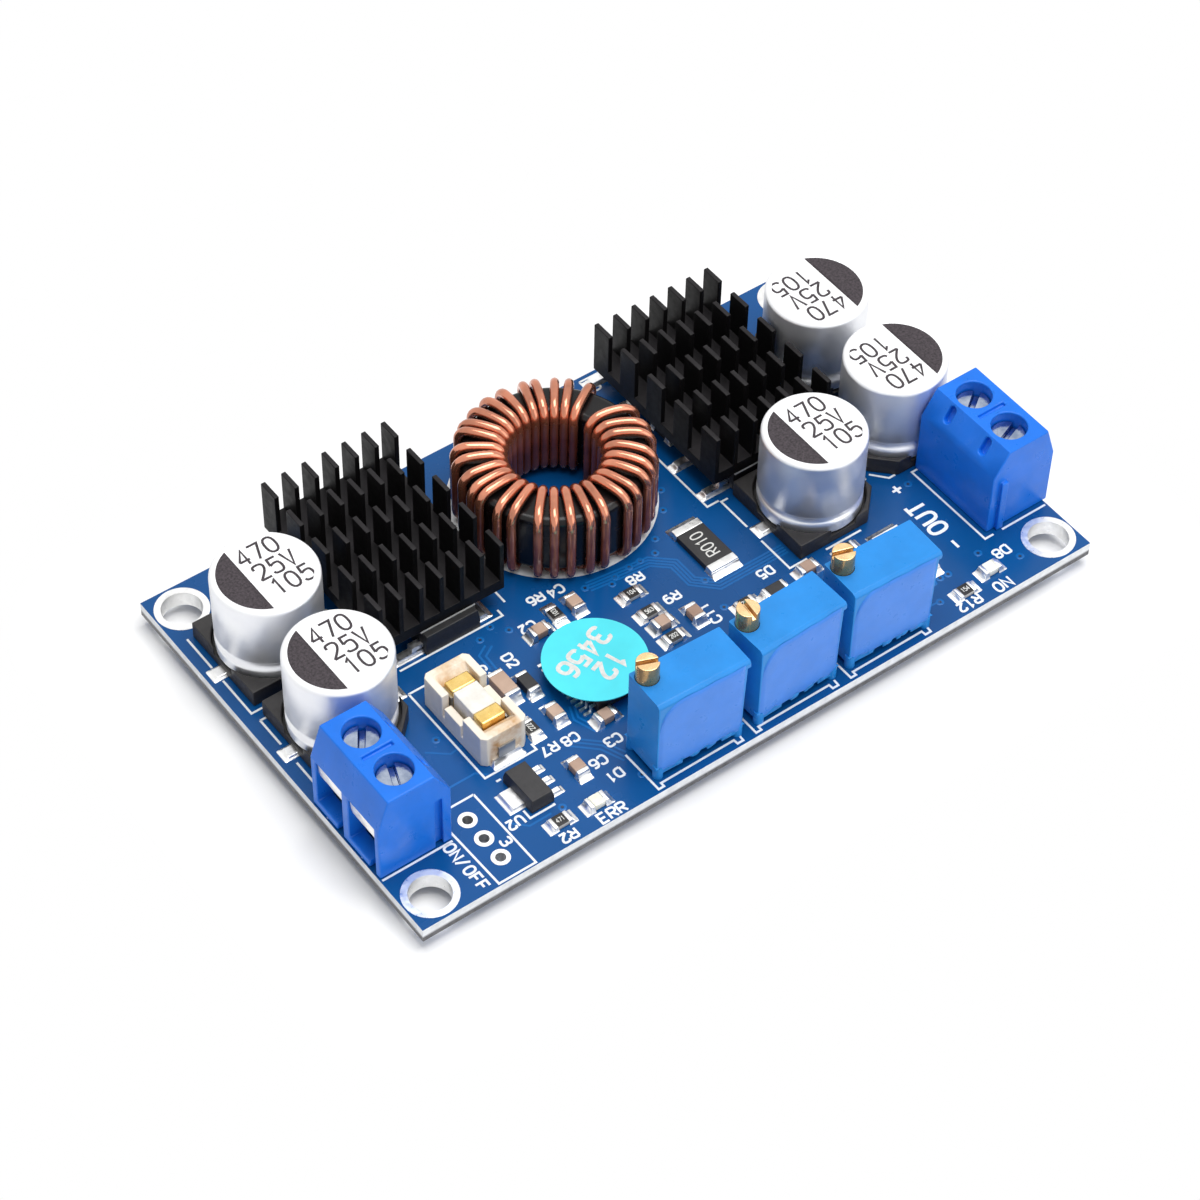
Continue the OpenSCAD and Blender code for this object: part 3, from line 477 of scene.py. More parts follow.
def lettering(name, words, width, material, narrow=1.0):
    """Raised strokes of words centred on their place: text, height, place, level and turn of each."""
    shapes = []
    for text, height, x, y, level, turn in words:
        scale = np.array([narrow, 1]) * height / LETTER_H
        start = -(LETTER_STEP * (len(text) - 1) + LETTER_W) / 2
        for number, letter in enumerate(text):
            corner = (start + LETTER_STEP * number, -LETTER_H / 2)
            for layer, stroke in enumerate(letter_strokes(letter)):
                line = turned((stroke + corner) * scale, turn) + (x, y)
                shapes.append(ribbon(line, width, level - SINK, level + INK + STROKE_STEP * layer))
    return add_piece(name, join_shapes(shapes), material)


# Shader nodes

WHITE = (1.0, 1.0, 1.0, 1.0)
SOCKETS = {1: "NodeSocketFloat", 3: "NodeSocketVector", 4: "NodeSocketColor"}
# Part of the noise that is stretched from 0 to 1, and how much finer than the tone the roughness drifts
CLOUD_SPREAD = (0.32, 0.68)
ROUGH_PATCH = 2.5
BUMP_STRENGTH = 0.5
BRUSH_SCALE = 1000.0


def shade(tree, kind, inputs=None, **settings):
    """Adds a node, then sets or links its inputs by name or number."""
    made = tree.nodes.new(kind)
    for key, value in settings.items():
        setattr(made, key, value)
    for key, value in (inputs or {}).items():
        if isinstance(value, bpy.types.NodeSocket):
            tree.links.new(value, made.inputs[key])
        else:
            made.inputs[key].default_value = value
    return made


def mix_colour(tree, factor, first, second):
    """Colour between two others."""
    return shade(tree, "ShaderNodeMix", {0: factor, 6: first, 7: second}, data_type="RGBA").outputs[2]


def combine(tree, operation, *values):
    """Product, difference or the like of numbers or sockets."""
    return shade(tree, "ShaderNodeMath", dict(enumerate(values)), operation=operation).outputs[0]


def ramp(tree, value, start=0.0, end=1.0, low=0.0, high=1.0):
    """Value that runs from low to high while another runs from start to end."""
    return shade(tree, "ShaderNodeMapRange", {
        "Value": value, "From Min": start, "From Max": end, "To Min": low, "To Max": high}).outputs["Result"]


def places(tree, kind="Object"):
    """Place on the object in metres, or with the kind Normal the way that the surface faces."""
    return shade(tree, "ShaderNodeTexCoord").outputs[kind]


def noise(tree, place, scale, detail, roughness):
    """Soft noise over places."""
    return shade(tree, "ShaderNodeTexNoise", {
        "Vector": place, "Scale": scale, "Detail": detail, "Roughness": roughness}).outputs["Fac"]


def cloud(tree, scale, detail=3.0):
    """Soft noise over the object, stretched to run from 0 to 1."""
    return ramp(tree, noise(tree, places(tree), scale, detail, roughness=0.6), *CLOUD_SPREAD)


def patchy_tone(tree, given):
    """Colour that drifts between two tones over soft patches."""
    return mix_colour(tree, cloud(tree, given["Scale"]), given["First"], given["Second"])


def patchy_value(tree, given):
    """Value that drifts between two limits over soft patches."""
    return ramp(tree, cloud(tree, given["Scale"], detail=4.0), low=given["Low"], high=given["High"])


def fine_grain(tree, given):
    """Height of a fine grain."""
    return noise(tree, places(tree), given["Scale"], detail=5.0, roughness=0.7)


def brushed_lines(tree, given):
    """Height of fine lines along one axis: noise over places that are stretched by the given scales."""
    mapped = shade(tree, "ShaderNodeMapping", {"Vector": places(tree), "Scale": given["Stretch"]})
    return noise(tree, mapped.outputs["Vector"], BRUSH_SCALE, detail=4.0, roughness=0.7)


def shared_group(fill, inputs):
    """Shader group with named inputs and one result, filled by a function when it is first asked for."""
    tree = bpy.data.node_groups.get(fill.__name__)
    if tree:
        return tree
    tree = bpy.data.node_groups.new(fill.__name__, "ShaderNodeTree")
    for label, value in inputs.items():
        tree.interface.new_socket(label, in_out="INPUT", socket_type=SOCKETS[np.size(value)])
    made = fill(tree, tree.nodes.new("NodeGroupInput").outputs)
    kind = "NodeSocketColor" if made.type == "RGBA" else "NodeSocketFloat"
    tree.interface.new_socket("Result", in_out="OUTPUT", socket_type=kind)
    tree.links.new(made, tree.nodes.new("NodeGroupOutput").inputs["Result"])
    return tree


def group_node(tree, fill, **inputs):
    """Places a shared group with its own values."""
    made = shade(tree, "ShaderNodeGroup", node_tree=shared_group(fill, inputs))
    for key, value in inputs.items():
        made.inputs[key].default_value = value
    return made.outputs[0]


def opaque(colour):
    """Colour with full cover."""
    return (*colour, 1.0)


def dim(colour, share):
    """Darker or lighter tone of a colour."""
    return tuple(min(1.0, part * share) for part in colour)


def drifting(tree, tone, drift, second, patch):
    """Tone that drifts over patches to a second one or, where none is given, to a share of itself."""
    second = second or dim(tone, drift)
    return group_node(tree, patchy_tone, First=opaque(tone), Second=opaque(second), Scale=patch)


def empty_tree(owner):
    """Cleared shader of a material or world."""
    owner.use_nodes = True
    owner.node_tree.nodes.clear()
    return owner.node_tree


def finish(name, tone, rough, drift=0.8, second=None, patch=400.0, metallic=0.0, specular=0.5, coat=0.0,
           relief=0.0, grain=7000.0, stretch=None):
    """Material whose tone and roughness drift over soft patches, with a fine grain or brushing."""
    material = bpy.data.materials.new(name)
    tree = empty_tree(material)
    surface = shade(tree, "ShaderNodeBsdfPrincipled", {
        "Metallic": metallic, "Coat Weight": coat, "Specular IOR Level": specular}, name="Surface")
    tree.links.new(drifting(tree, tone, drift, second, patch), surface.inputs["Base Color"])
    low, high = rough
    value = group_node(tree, patchy_value, Low=low, High=high, Scale=patch * ROUGH_PATCH)
    tree.links.new(value, surface.inputs["Roughness"])
    if relief:
        height = (group_node(tree, brushed_lines, Stretch=stretch) if stretch else
                  group_node(tree, fine_grain, Scale=grain))
        bump = shade(tree, "ShaderNodeBump", {
            "Height": height, "Strength": BUMP_STRENGTH, "Distance": relief * MM})
        tree.links.new(bump.outputs["Normal"], surface.inputs["Normal"])
    shade(tree, "ShaderNodeOutputMaterial", {"Surface": surface.outputs["BSDF"]})
    return material


def second_tone(material, mask, tone, drift=0.8, second=None, patch=400.0):
    """Puts a further drifting tone over a material's colour where a mask is 1."""
    tree = material.node_tree
    colour = tree.nodes["Surface"].inputs["Base Color"]
    over = drifting(tree, tone, drift, second, patch)
    tree.links.new(mix_colour(tree, mask, colour.links[0].from_socket, over), colour)


def facing(tree, axis, start, end):
    """Mask from how far the surface faces along an axis, up or down, from 0 at start to 1 at end."""
    parts = shade(tree, "ShaderNodeSeparateXYZ", {0: places(tree, "Normal")})
    return ramp(tree, combine(tree, "ABSOLUTE", parts.outputs[axis]), start, end)


def along(tree, axis, start, end):
    """Mask from the place along an axis in millimetres, from 0 at start to 1 at end."""
    parts = shade(tree, "ShaderNodeSeparateXYZ", {0: places(tree)})
    return ramp(tree, parts.outputs[axis], start * MM, end * MM)


# Finishes that several parts share

# How far up or down a face looks where the painted highlight on a top starts, and where it is full
TOP_LIGHT_FACING = (0.5, 0.9)


def tin_finish(name, tone=(0.90, 0.90, 0.89), rough=(0.26, 0.42)):
    """Bright tin or solder with a slightly rippled skin."""
    return finish(name, tone, rough, drift=0.86, metallic=1.0, patch=900, relief=0.012, grain=2600)


def epoxy_finish(name, tone=srgb(38, 37, 39)):
    """Black moulding resin with a fine matt grain."""
    return finish(name, tone, rough=(0.42, 0.6), drift=0.7, patch=700, relief=0.012, grain=16000)


def plastic_finish(name, tone, rough=(0.26, 0.42)):
    """Moulded coloured plastic with faint flow marks."""
    return finish(name, tone, rough, drift=0.86, patch=260, relief=0.008, grain=5000, specular=0.3)


# Board

# Levels on the cut edge between which the painted shade on its lower part gives way to the pale core
EDGE_SHADE_LOW, EDGE_SHADE_HIGH = 0.5, 0.8
COPPER_RISE = 0.012
SIGNAL_WIDTH = 0.22
SIGNAL_STEP = 0.36
VIA_RING = 0.42
VIA_EDGE = 0.05
VIA_HOLE = 0.17
# Hollow in a via: radius of its flat as a share of the hole's, and heights at its middle and its rim
HOLLOW_FLAT = 0.6
HOLLOW_LOW, HOLLOW_RIM = 0.005, 0.01
VIAS = [
    (-3.85, 0.42), (-0.72, -0.13), (-1.48, -0.67), (1.12, 0.11), (2.42, 0.11), (5.96, -5.41),
    (5.33, -9.14), (5.29, 1.53), (4.2, 0.09), (8.19, 4.08), (9.63, 6.29), (-25.74, -6.48), (29.59, -7.09),
    (29.21, -17.93), (32.21, -20.57), (22.23, -20.55), (24.19, -18.24), (23.24, -18.34), (25.14, -18.3),
    (-12.7, 0.36), (-13.92, 1.69), (-15.6, 0.94), (-12.97, -20.6), (-21.0, -19.4),
]
BUNDLE = [(-3.6, -0.2), (2.8, -0.95), (4.3, -2.3), (4.3, -5.0), (6.5, -7.2), (14.6, -7.2)]
BUNDLE_LINES = 4
SIGNALS = [
    [(-28.4, -11.7), (-25.1, -11.7), (-23.8, -12.9)],
    [(-22.2, -19.4), (-24.6, -19.4), (-26.2, -17.8)], [(21.2, -17.6), (21.2, -20.4), (22.2, -20.5)],
    [(-27.4, -7.1), (-25.6, -8.6), (-24.2, -8.4)],
    [(-16.0, -13.8), (-13.9, -15.8), (-13.0, -18.1)],
    [(-15.5, -13.7), (-13.6, -15.5), (-12.6, -17.7)],
    [(-16.5, -14.0), (-14.3, -16.1), (-13.3, -18.4)],
    [(-15.6, 0.1), (-16.8, -0.6), (-16.9, -2.6)],
    [(-15.1, -0.3), (-16.3, -1.0), (-16.4, -3.0)],
    [(-13.6, -10.4), (-14.2, -11.9), (-13.4, -14.2)],
    [(-13.2, -10.6), (-13.7, -11.9), (-12.9, -14.1)],
]


def board_finish(looks):
    """Glossy lacquer on both faces, and on the cut edges a pale upper part and a painted shade on the lower
    one.
    """
    material = finish("Board lacquer", looks.mask, rough=(0.18, 0.3), patch=55, relief=0.004, grain=2500,
                      specular=0.3)
    tree = material.node_tree
    edge = combine(tree, "SUBTRACT", 1.0, facing(tree, "Z", start=0.4, end=0.6))
    second_tone(material, edge, looks.core, patch=900)
    # Painted shade: the lower part of the cut edge is painted dark
    edge_shade_mask = combine(tree, "MULTIPLY", edge, along(tree, "Z", EDGE_SHADE_HIGH, EDGE_SHADE_LOW))
    second_tone(material, edge_shade_mask, looks.painted_edge_shade, drift=0.5, patch=1200)
    return material


class CONVERTER_OT_board(bpy.types.Operator):
    """Lacquers the board, and adds its copper lines, through-connections and plated holes"""
    bl_idname = "converter.board"
    bl_label = "Board"

    def execute(self, context):
        looks = context.scene.converter.board
        paint("circuit_board", board_finish(looks))
        plating = tin_finish("Plating")
        for node in ("mounting_hole_plating", "header_plating"):
            paint(node, plating)
        raised = finish("Lacquer over copper", looks.copper_under_mask, rough=(0.2, 0.32), patch=90,
                        specular=0.3)
        hollow = finish("Via shade", dim(looks.mask, 0.35), rough=(0.3, 0.45), second=dim(looks.mask, 0.2),
                        patch=900)
        bundle = [offset_line(BUNDLE, SIGNAL_STEP * number) for number in range(BUNDLE_LINES)]
        lines = [ribbon(line, SIGNAL_WIDTH, BOARD_TOP - SINK, BOARD_TOP + COPPER_RISE)
                 for line in bundle + SIGNALS]
        add_piece("copper_lines", join_shapes(lines), raised)
        top = BOARD_TOP + COPPER_RISE + STROKE_STEP
        ring = [(VIA_RING, BOARD_TOP), (VIA_RING - VIA_EDGE, top), (VIA_HOLE, top), (VIA_HOLE, BOARD_TOP),
                (VIA_RING, BOARD_TOP)]
        rings = [lathe(ring, place, sides=14) for place in VIAS]
        add_piece("via_rings", join_shapes(rings), raised)
        plug = [(0, BOARD_TOP + HOLLOW_LOW), (VIA_HOLE * HOLLOW_FLAT, BOARD_TOP + HOLLOW_RIM),
                (VIA_HOLE, top), (VIA_HOLE, BOARD_TOP)]
        plugs = [lathe(plug, place, sides=10) for place in VIAS]
        add_piece("via_plugs", join_shapes(plugs), hollow)
        return {"FINISHED"}


# Print

RING_DISC = 10.3
RING_EYE = 5.6
RING_DISC_SHIFT = (0.6, 1.1)
SIGN_WIDTH = 0.28
LETTER_LINE = 0.23
BOLD_LINE = 0.36
BOLD_NARROW = 0.9
PRINT_LINES = [
    [(-24.7, -0.6), (-24.7, -12.7), (-19.0, -12.7), (-19.0, -11.9)],
    [(-19.0, -1.6), (-19.0, -0.6), (-24.7, -0.6)],
    [(-26.6, -13.6), (-26.5, -23.0), (-30.5, -23.0), (-30.7, -15.8)], [(-29.4, -13.6), (-26.6, -13.6)],
    [(-38.6, -16.75), (-31.1, -16.75)], [(-38.65, -8.13), (-37.0, -8.13)],
    [(-38.65, -13.58), (-37.0, -13.58)],
    [(-24.1, -13.6), (-23.6, -13.6)], [(-24.05, -17.7), (-24.05, -18.75), (-21.4, -18.75), (-21.4, -18.6)],
    [(31.6, -6.1), (30.9, -6.1), (30.95, -16.95), (32.0, -16.95)], [(33.1, -16.95), (38.6, -16.95)],
    [(11.9, 22.7), (11.9, 1.9), (13.3, 1.9)], [(11.9, 22.7), (26.9, 22.7)],
    [(14.2, 1.65), (13.4, 1.65), (13.4, -2.4)], [(13.4, -4.6), (13.4, -8.95), (15.5, -8.95)],
    [(17.7, -9.1), (22.0, -9.1)],
    [(-37.6, 16.9), (-37.6, 12.6)], [(-37.6, 10.7), (-37.6, 5.9), (-36.4, 5.9)],
    [(-37.4, 4.75), (-36.2, 4.75)],
    [(-37.4, 4.75), (-37.4, 1.3)], [(-37.4, -1.3), (-37.4, -5.0)],
    [(27.3, -3.9), (28.6, -5.4), (29.35, -5.4)], [(38.3, 1.2), (38.3, 4.6)], [(38.3, 7.0), (38.3, 10.0)],
    [(-23.8, 2.15), (-12.15, 2.15), (-12.15, 3.0)], [(-25.6, 22.85), (-11.0, 22.85), (-11.0, 3.4)],
]
# Printed line on three sides of a trimmer, from its middle and the line's front, with a hook at both corners
TRIMMER_PRINT = [(-5.4, 4.9), (-5.35, 0), (-4.75, 0), (-4.75, 0.45),
                 (3.6, 0.5), (3.65, 0), (4.3, 0), (4.35, 0.7)]
TRIMMER_PRINT_INSET = 0.4
# Middles of the plus and the minus sign, and half the length of a stroke
SIGN_X, PLUS_Y, MINUS_Y = 28.2, -7.05, -15.77
SIGN_ARM = 0.52
SIGNS = [[(SIGN_X - SIGN_ARM, PLUS_Y), (SIGN_X + SIGN_ARM, PLUS_Y)],
         [(SIGN_X, PLUS_Y - SIGN_ARM), (SIGN_X, PLUS_Y + SIGN_ARM)],
         [(SIGN_X, MINUS_Y - SIGN_ARM), (SIGN_X, MINUS_Y + SIGN_ARM)]]
# Words on the board: text, height, place and turn
WORDS = [
    ("C4", 1.0, -6.3, 1.75, 180), ("R6", 1.0, -8.45, 2.0, 180), ("R8", 1.0, 0.7, -1.4, 180),
    ("R9", 1.0, 2.1, -5.3, 180), ("C11", 1.0, 3.8, -9.0, 90), ("C2", 1.0, -11.1, -0.4, 180),
    ("D2", 1.0, -14.8, -2.75, 270), ("C1", 1.0, -17.6, -2.5, 270), ("C8", 1.0, -15.8, -13.55, 180),
    ("R7", 1.0, -18.0, -13.35, 180), ("C3", 1.0, -12.7, -15.9, 180), ("C6", 1.0, -15.3, -17.15, 180),
    ("D1", 1.0, -15.0, -19.2, 180), ("ERR", 1.1, -17.75, -22.5, 0), ("U2", 1.0, -25.4, -18.4, 180),
    ("R2", 1.0, -22.4, -22.35, 180), ("3", 1.0, -27.3, -19.6, 270), ("ON/OFF", 1.08, -31.75, -19.8, 270),
    ("D5", 1.0, 11.2, -8.0, 180), ("D8", 1.05, 31.15, -19.1, 180), ("ON", 1.15, 28.5, -22.35, 0),
    ("R12", 1.0, 24.4, -22.3, 180), ("Q2", 1.0, 12.8, 21.6, 90),
]
BOLD_WORDS = [("OUT", 1.9, 28.17, -11.6, BOARD_TOP, 90)]


class CONVERTER_OT_print(bpy.types.Operator):
    """Prints the white outlines, signs and letters on the board"""
    bl_idname = "converter.print"
    bl_label = "Print"

    def execute(self, context):
        looks = context.scene.converter.board
        white = finish("White print", looks.print, rough=(0.5, 0.65), drift=0.86, patch=900, relief=0.006)
        low, high = BOARD_TOP - SINK, BOARD_TOP + INK
        front = BOARD_LOW[1] + TRIMMER_PRINT_INSET
        lines = PRINT_LINES + [np.array(TRIMMER_PRINT) + (x, front) for x, *_ in TRIMMERS]
        shape = join_shapes([ribbon(line, looks.line_width, low, high) for line in lines])
        add_piece("printed_lines", shape, white)
        signs = [ribbon(line, SIGN_WIDTH, low, high + STROKE_STEP * layer)
                 for layer, line in enumerate(SIGNS)]
        add_piece("printed_signs", join_shapes(signs), white)
        words = [(text, height, x, y, BOARD_TOP, turn) for text, height, x, y, turn in WORDS]
        lettering("printed_words", words, LETTER_LINE, white)
        lettering("printed_bold_words", BOLD_WORDS, BOLD_LINE, white, BOLD_NARROW)
        centre = middle_of("inductor_core")[:2] + RING_DISC_SHIFT
        disc = [(RING_EYE, high), (RING_DISC, high), (RING_DISC, low), (RING_EYE, low), (RING_EYE, high)]
        add_piece("printed_disc", lathe(disc, centre, sides=96), white)
        return {"FINISHED"}


# Solder

PAD_T = 0.05
PAD_SINK = 0.01
# Points ahead of the metal and beside it, and the powers of a fillet's round plan, steep edge and slope
PAD_STEPS, PAD_SIDE_STEPS = 12, 6
PLAN_POWER, EDGE_POWER, SLOPE_POWER = 4, 10, 2.4
# Reach ahead of each kind of lead, spread beside it and rise of its solder
LEAD_PADS = {
    "capacitor_leads": (0.55, 0.35, 0.22),
    "transistor_leads": (0.7, 0.25, 0.35),
    "regulator_leads": (0.5, 0.2, 0.25),
    "fuse_clips": (0.6, 0.3, 0.6),
}
# Width over which a lead is the broad tab of its part
TAB_WIDTH = {"transistor_leads": 2, "regulator_leads": 1}
CHIPS = ("chip_resistors", "chip_capacitors", "indicator_lamps", "diodes", "middle_shunt", "output_shunt")
CHIP_REACH, WIDE_REACH = 0.6, 0.75
WIDE_CHIP = 2
CHIP_SPREAD = 0.16
CHIP_RISE = 0.62
# Cones on the underside: radii of the pads, the pin radius over which a pad is large, and the form of a cone
LARGE_PAD_R, SMALL_PAD_R = 1.0, 0.8
LARGE_PIN_R = 0.4
CONE_LENGTH = 1.0
CONE_POWER = 2.2
CONE_TIP = 0.05
RIM_WIDTH, RIM_SHARE = 0.06, 0.6
CONTACT_PIN_R = 0.5
CONTACT_PIN_INSET = 0.25


def solder_pad(low, high, axis, sign, reach, spread, rise):
    """Solder around one metal end: a hollow fillet that falls as a power of the distance from the end's box.

    The distance is a rounded mix of that ahead of the end, over reach, and that beside it, over spread.
    """
    side = 1 - axis
    centre, half = (low[side] + high[side]) / 2, (high[side] - low[side]) / 2
    face, back = (high[axis], low[axis]) if sign > 0 else (low[axis], high[axis])
    ahead = np.concatenate([[-abs(face - back)], np.linspace(0, reach, PAD_STEPS)])
    outer = np.linspace(half, half + spread, PAD_SIDE_STEPS)
    a, b = np.meshgrid(ahead, np.concatenate([-outer[::-1], [0], outer]), indexing="ij")
    beside = np.clip((abs(b) - half) / spread, 0, 1)
    away = np.clip(a / reach, 0, 1) ** PLAN_POWER + beside ** PLAN_POWER
    away = np.clip(away ** (1 / PLAN_POWER), 0, 1)
    skin = (PAD_T + PAD_SINK) * (1 - away ** EDGE_POWER)
    surface = np.zeros(a.shape + (3,))
    surface[..., axis] = face + sign * a
    surface[..., side] = centre + b
    surface[..., 2] = BOARD_TOP - PAD_SINK + skin + rise * (1 - away) ** SLOPE_POWER
    return grid_shape(surface if (sign > 0) == (axis == 0) else surface[::-1])


def pin_joint(place, pin_r, pad_r):
    """Solder cone on the underside: the radius falls from the pad to the pin along a hollow curve."""
    share = np.linspace(0, 1, 9)
    radius = pin_r + (pad_r - pin_r) * (1 - share) ** CONE_POWER
    cone = np.stack([radius, -PAD_T - share * CONE_LENGTH], -1)
    rim = [(pad_r + RIM_WIDTH, 0.0), (pad_r + RIM_WIDTH, -PAD_T * RIM_SHARE)]
    tip = [(0, -PAD_T - CONE_LENGTH - CONE_TIP)]
    return lathe(np.concatenate([rim, cone, tip]), place, sides=24)


def chip_pads():
    """Solder at each metal end of the chip parts, on the side away from the chip's body."""
    bodies = np.array([(low + high) / 2 for node in CHIPS for low, high in solids_in(node)])
    shapes = []
    for low, high in solids_in("chip_ends"):
        centre, size = (low + high) / 2, high - low
        nearest = bodies[np.linalg.norm(bodies[:, :2] - centre[:2], axis=1).argmin()]
        offset = centre - nearest
        axis = int(abs(offset[1]) > abs(offset[0]))
        reach = WIDE_REACH if size[1 - axis] > WIDE_CHIP else CHIP_REACH
        sign = np.sign(offset[axis])
        shapes.append(solder_pad(low, high, axis, sign, reach, CHIP_SPREAD, size[2] * CHIP_RISE))
    return shapes


def lead_way(node, low, high):
    """Axis along which the solder lies ahead of a lead, and to which side."""
    place = (low + high) / 2
    if node == "fuse_clips":
        return 1, np.sign(place[1] - middle_of("fuse_holder")[1])
    if node == "capacitor_leads":
        base = min(nodes_with("_base_"), key=lambda name: np.linalg.norm((middle_of(name) - place)[:2]))
        return 0, np.sign(place[0] - middle_of(base)[0])
    is_tab = high[1] - low[1] > TAB_WIDTH[node]
    return 0, 1 if is_tab == (node == "transistor_leads") else -1


def contact_pins(node):
    """Middles of the round pins of a node's contacts: each stands near the contact's inner end."""
    pins = []
    for low, high in solids_in(node):
        x = high[0] - CONTACT_PIN_INSET if high[0] < 0 else low[0] + CONTACT_PIN_INSET
        pins.append((x, (low[1] + high[1]) / 2))
    return pins


class CONVERTER_OT_solder(bpy.types.Operator):
    """Adds the solder at the chip ends, leads and pins"""
    bl_idname = "converter.solder"
    bl_label = "Solder"

    def execute(self, context):
        tin = tin_finish("Solder", (0.93, 0.93, 0.92))
        leads = [solder_pad(low, high, *lead_way(node, low, high), *sizes)
                 for node, sizes in LEAD_PADS.items() for low, high in solids_in(node)]
        for name, shapes in (("chip_solder", chip_pads()), ("lead_solder", leads)):
            add_piece(name, join_shapes(shapes), tin, closed=False, sharp=60)
        pins = [(place, CONTACT_PIN_R) for node in ("input_contacts", "output_contacts")
                for place in contact_pins(node)]
        pins += [((low + high) / 2, (high - low)[0] / 2) for low, high in solids_in("trimmer_pins")]
        winding = context.scene.converter.winding
        path, _ = winding_path(winding.wire, winding.turns, winding.bare)
        pins += [(end, winding.wire / 2) for end in (path[0], path[-1])]
        joints = [pin_joint(place, radius, LARGE_PAD_R if radius > LARGE_PIN_R else SMALL_PAD_R)
                  for place, radius in pins]
        add_piece("pin_solder", join_shapes(joints), tin)
        for node in ("capacitor_leads", "transistor_leads", "trimmer_pins", "regulator_leads",
                     "control_chip_leads"):
            paint(node, tin)
        return {"FINISHED"}


# Capacitors

CANS = ("input_capacitor_front", "input_capacitor_rear", "output_capacitor_front",
        "output_capacitor_rear", "output_capacitor_middle")
TURNED_CANS = ("output_capacitor_front", "output_capacitor_rear")
BASE_ROUND = 0.12
# Wall of a can: its curled foot, the levels of the foot's and the groove's ends, and the groove's arc
FOOT_R = 0.42
WALL_LEVELS = (1.2, 1.55, 2.6)
GROOVE_LEVEL, GROOVE_OUT = 2.05, 0.32
GROOVE_R, GROOVE_HALF = 0.62, 40
# Top of a can: its rim, the lip inside it and the sunk face, and where its satin top, painted pale as a
# painted reflection, begins and is full
RIM_R = 0.5
LIP_INSET, LIP_DROP = 0.62, 0.015
FACE_INSET, FACE_DROP = 0.75, 0.05
SATIN_SHEEN_START, SATIN_SHEEN_FULL = 0.35, 0.1
# Dark mark on a can: its straight edge from the middle, its gap to the rim and how near it comes to its tips
INK_CHORD = -1.7
INK_INSET = 0.45
INK_TIPS = 0.995
# Words on a can: text and place from its middle
CAN_WORDS = [("470", 0.75, 2.55), ("25V", 1.25, 0.2), ("105", 1.6, -2.15)]
CAN_LETTER = 1.9
CAN_LINE = 0.25
CAN_NARROW = 0.84


def can_profile(low, high):
    """Radius and height of a can: curled foot, groove, straight wall, rounded rim and a slightly sunk top."""
    r, z0, z1 = (high[0] - low[0]) / 2, low[2], high[2]
    foot = arc((r - FOOT_R, z0 + FOOT_R), FOOT_R, -90, 0)
    groove_middle = (r + GROOVE_OUT, z0 + GROOVE_LEVEL)
    groove = arc(groove_middle, GROOVE_R, 180 + GROOVE_HALF, 180 - GROOVE_HALF, steps=10)
    rim = arc((r - RIM_R, z1 - RIM_R), RIM_R, 0, 90)
    wall = [(r, z0 + level) for level in WALL_LEVELS]
    top = [(r - LIP_INSET, z1 - LIP_DROP), (r - FACE_INSET, z1 - FACE_DROP), (0, z1 - FACE_DROP)]
    return np.concatenate([[(0, z0)], foot, wall[:2], groove, wall[2:], rim, top])


def ink_patch(centre, radius, level, turn):
    """Flat sector of a circle cut by a chord: rows run from the chord to the rim."""
    half = math.sqrt(radius ** 2 - INK_CHORD ** 2)
    y = np.linspace(-half, half, 33)[:, None] * INK_TIPS
    share = np.linspace(0, 1, 7)
    rim = -np.sqrt(radius ** 2 - y ** 2)
    x = INK_CHORD + (rim - INK_CHORD) * share
    plan = turned(np.stack(np.broadcast_arrays(x, y), -1), turn) + centre[:2]
    return grid_shape(np.concatenate([plan, np.full(x.shape + (1,), level)], -1))


def can_finish():
    """Aluminium with fine upright drawing lines, and a satin top painted pale and matt as a painted
    reflection.
    """
    material = finish("Drawn aluminium", (0.92, 0.93, 0.95), rough=(0.36, 0.46), second=(0.86, 0.87, 0.91),
                      metallic=1.0, patch=250, relief=0.004, stretch=(6, 6, 0.15))
    tree = material.node_tree
    height = corners(CANS[0])[1][2]
    # Painted reflection: above this level the top turns a pale, matt, barely metallic tone
    top = along(tree, "Z", height - SATIN_SHEEN_START, height - SATIN_SHEEN_FULL)
    second_tone(material, top, (0.94, 0.94, 0.95), second=(0.88, 0.89, 0.9), patch=300)
    surface = tree.nodes["Surface"]
    drawn = surface.inputs["Roughness"].links[0].from_socket
    tree.links.new(ramp(tree, top, low=drawn, high=0.55), surface.inputs["Roughness"])
    tree.links.new(ramp(tree, top, low=0.8, high=0.12), surface.inputs["Metallic"])
    return material


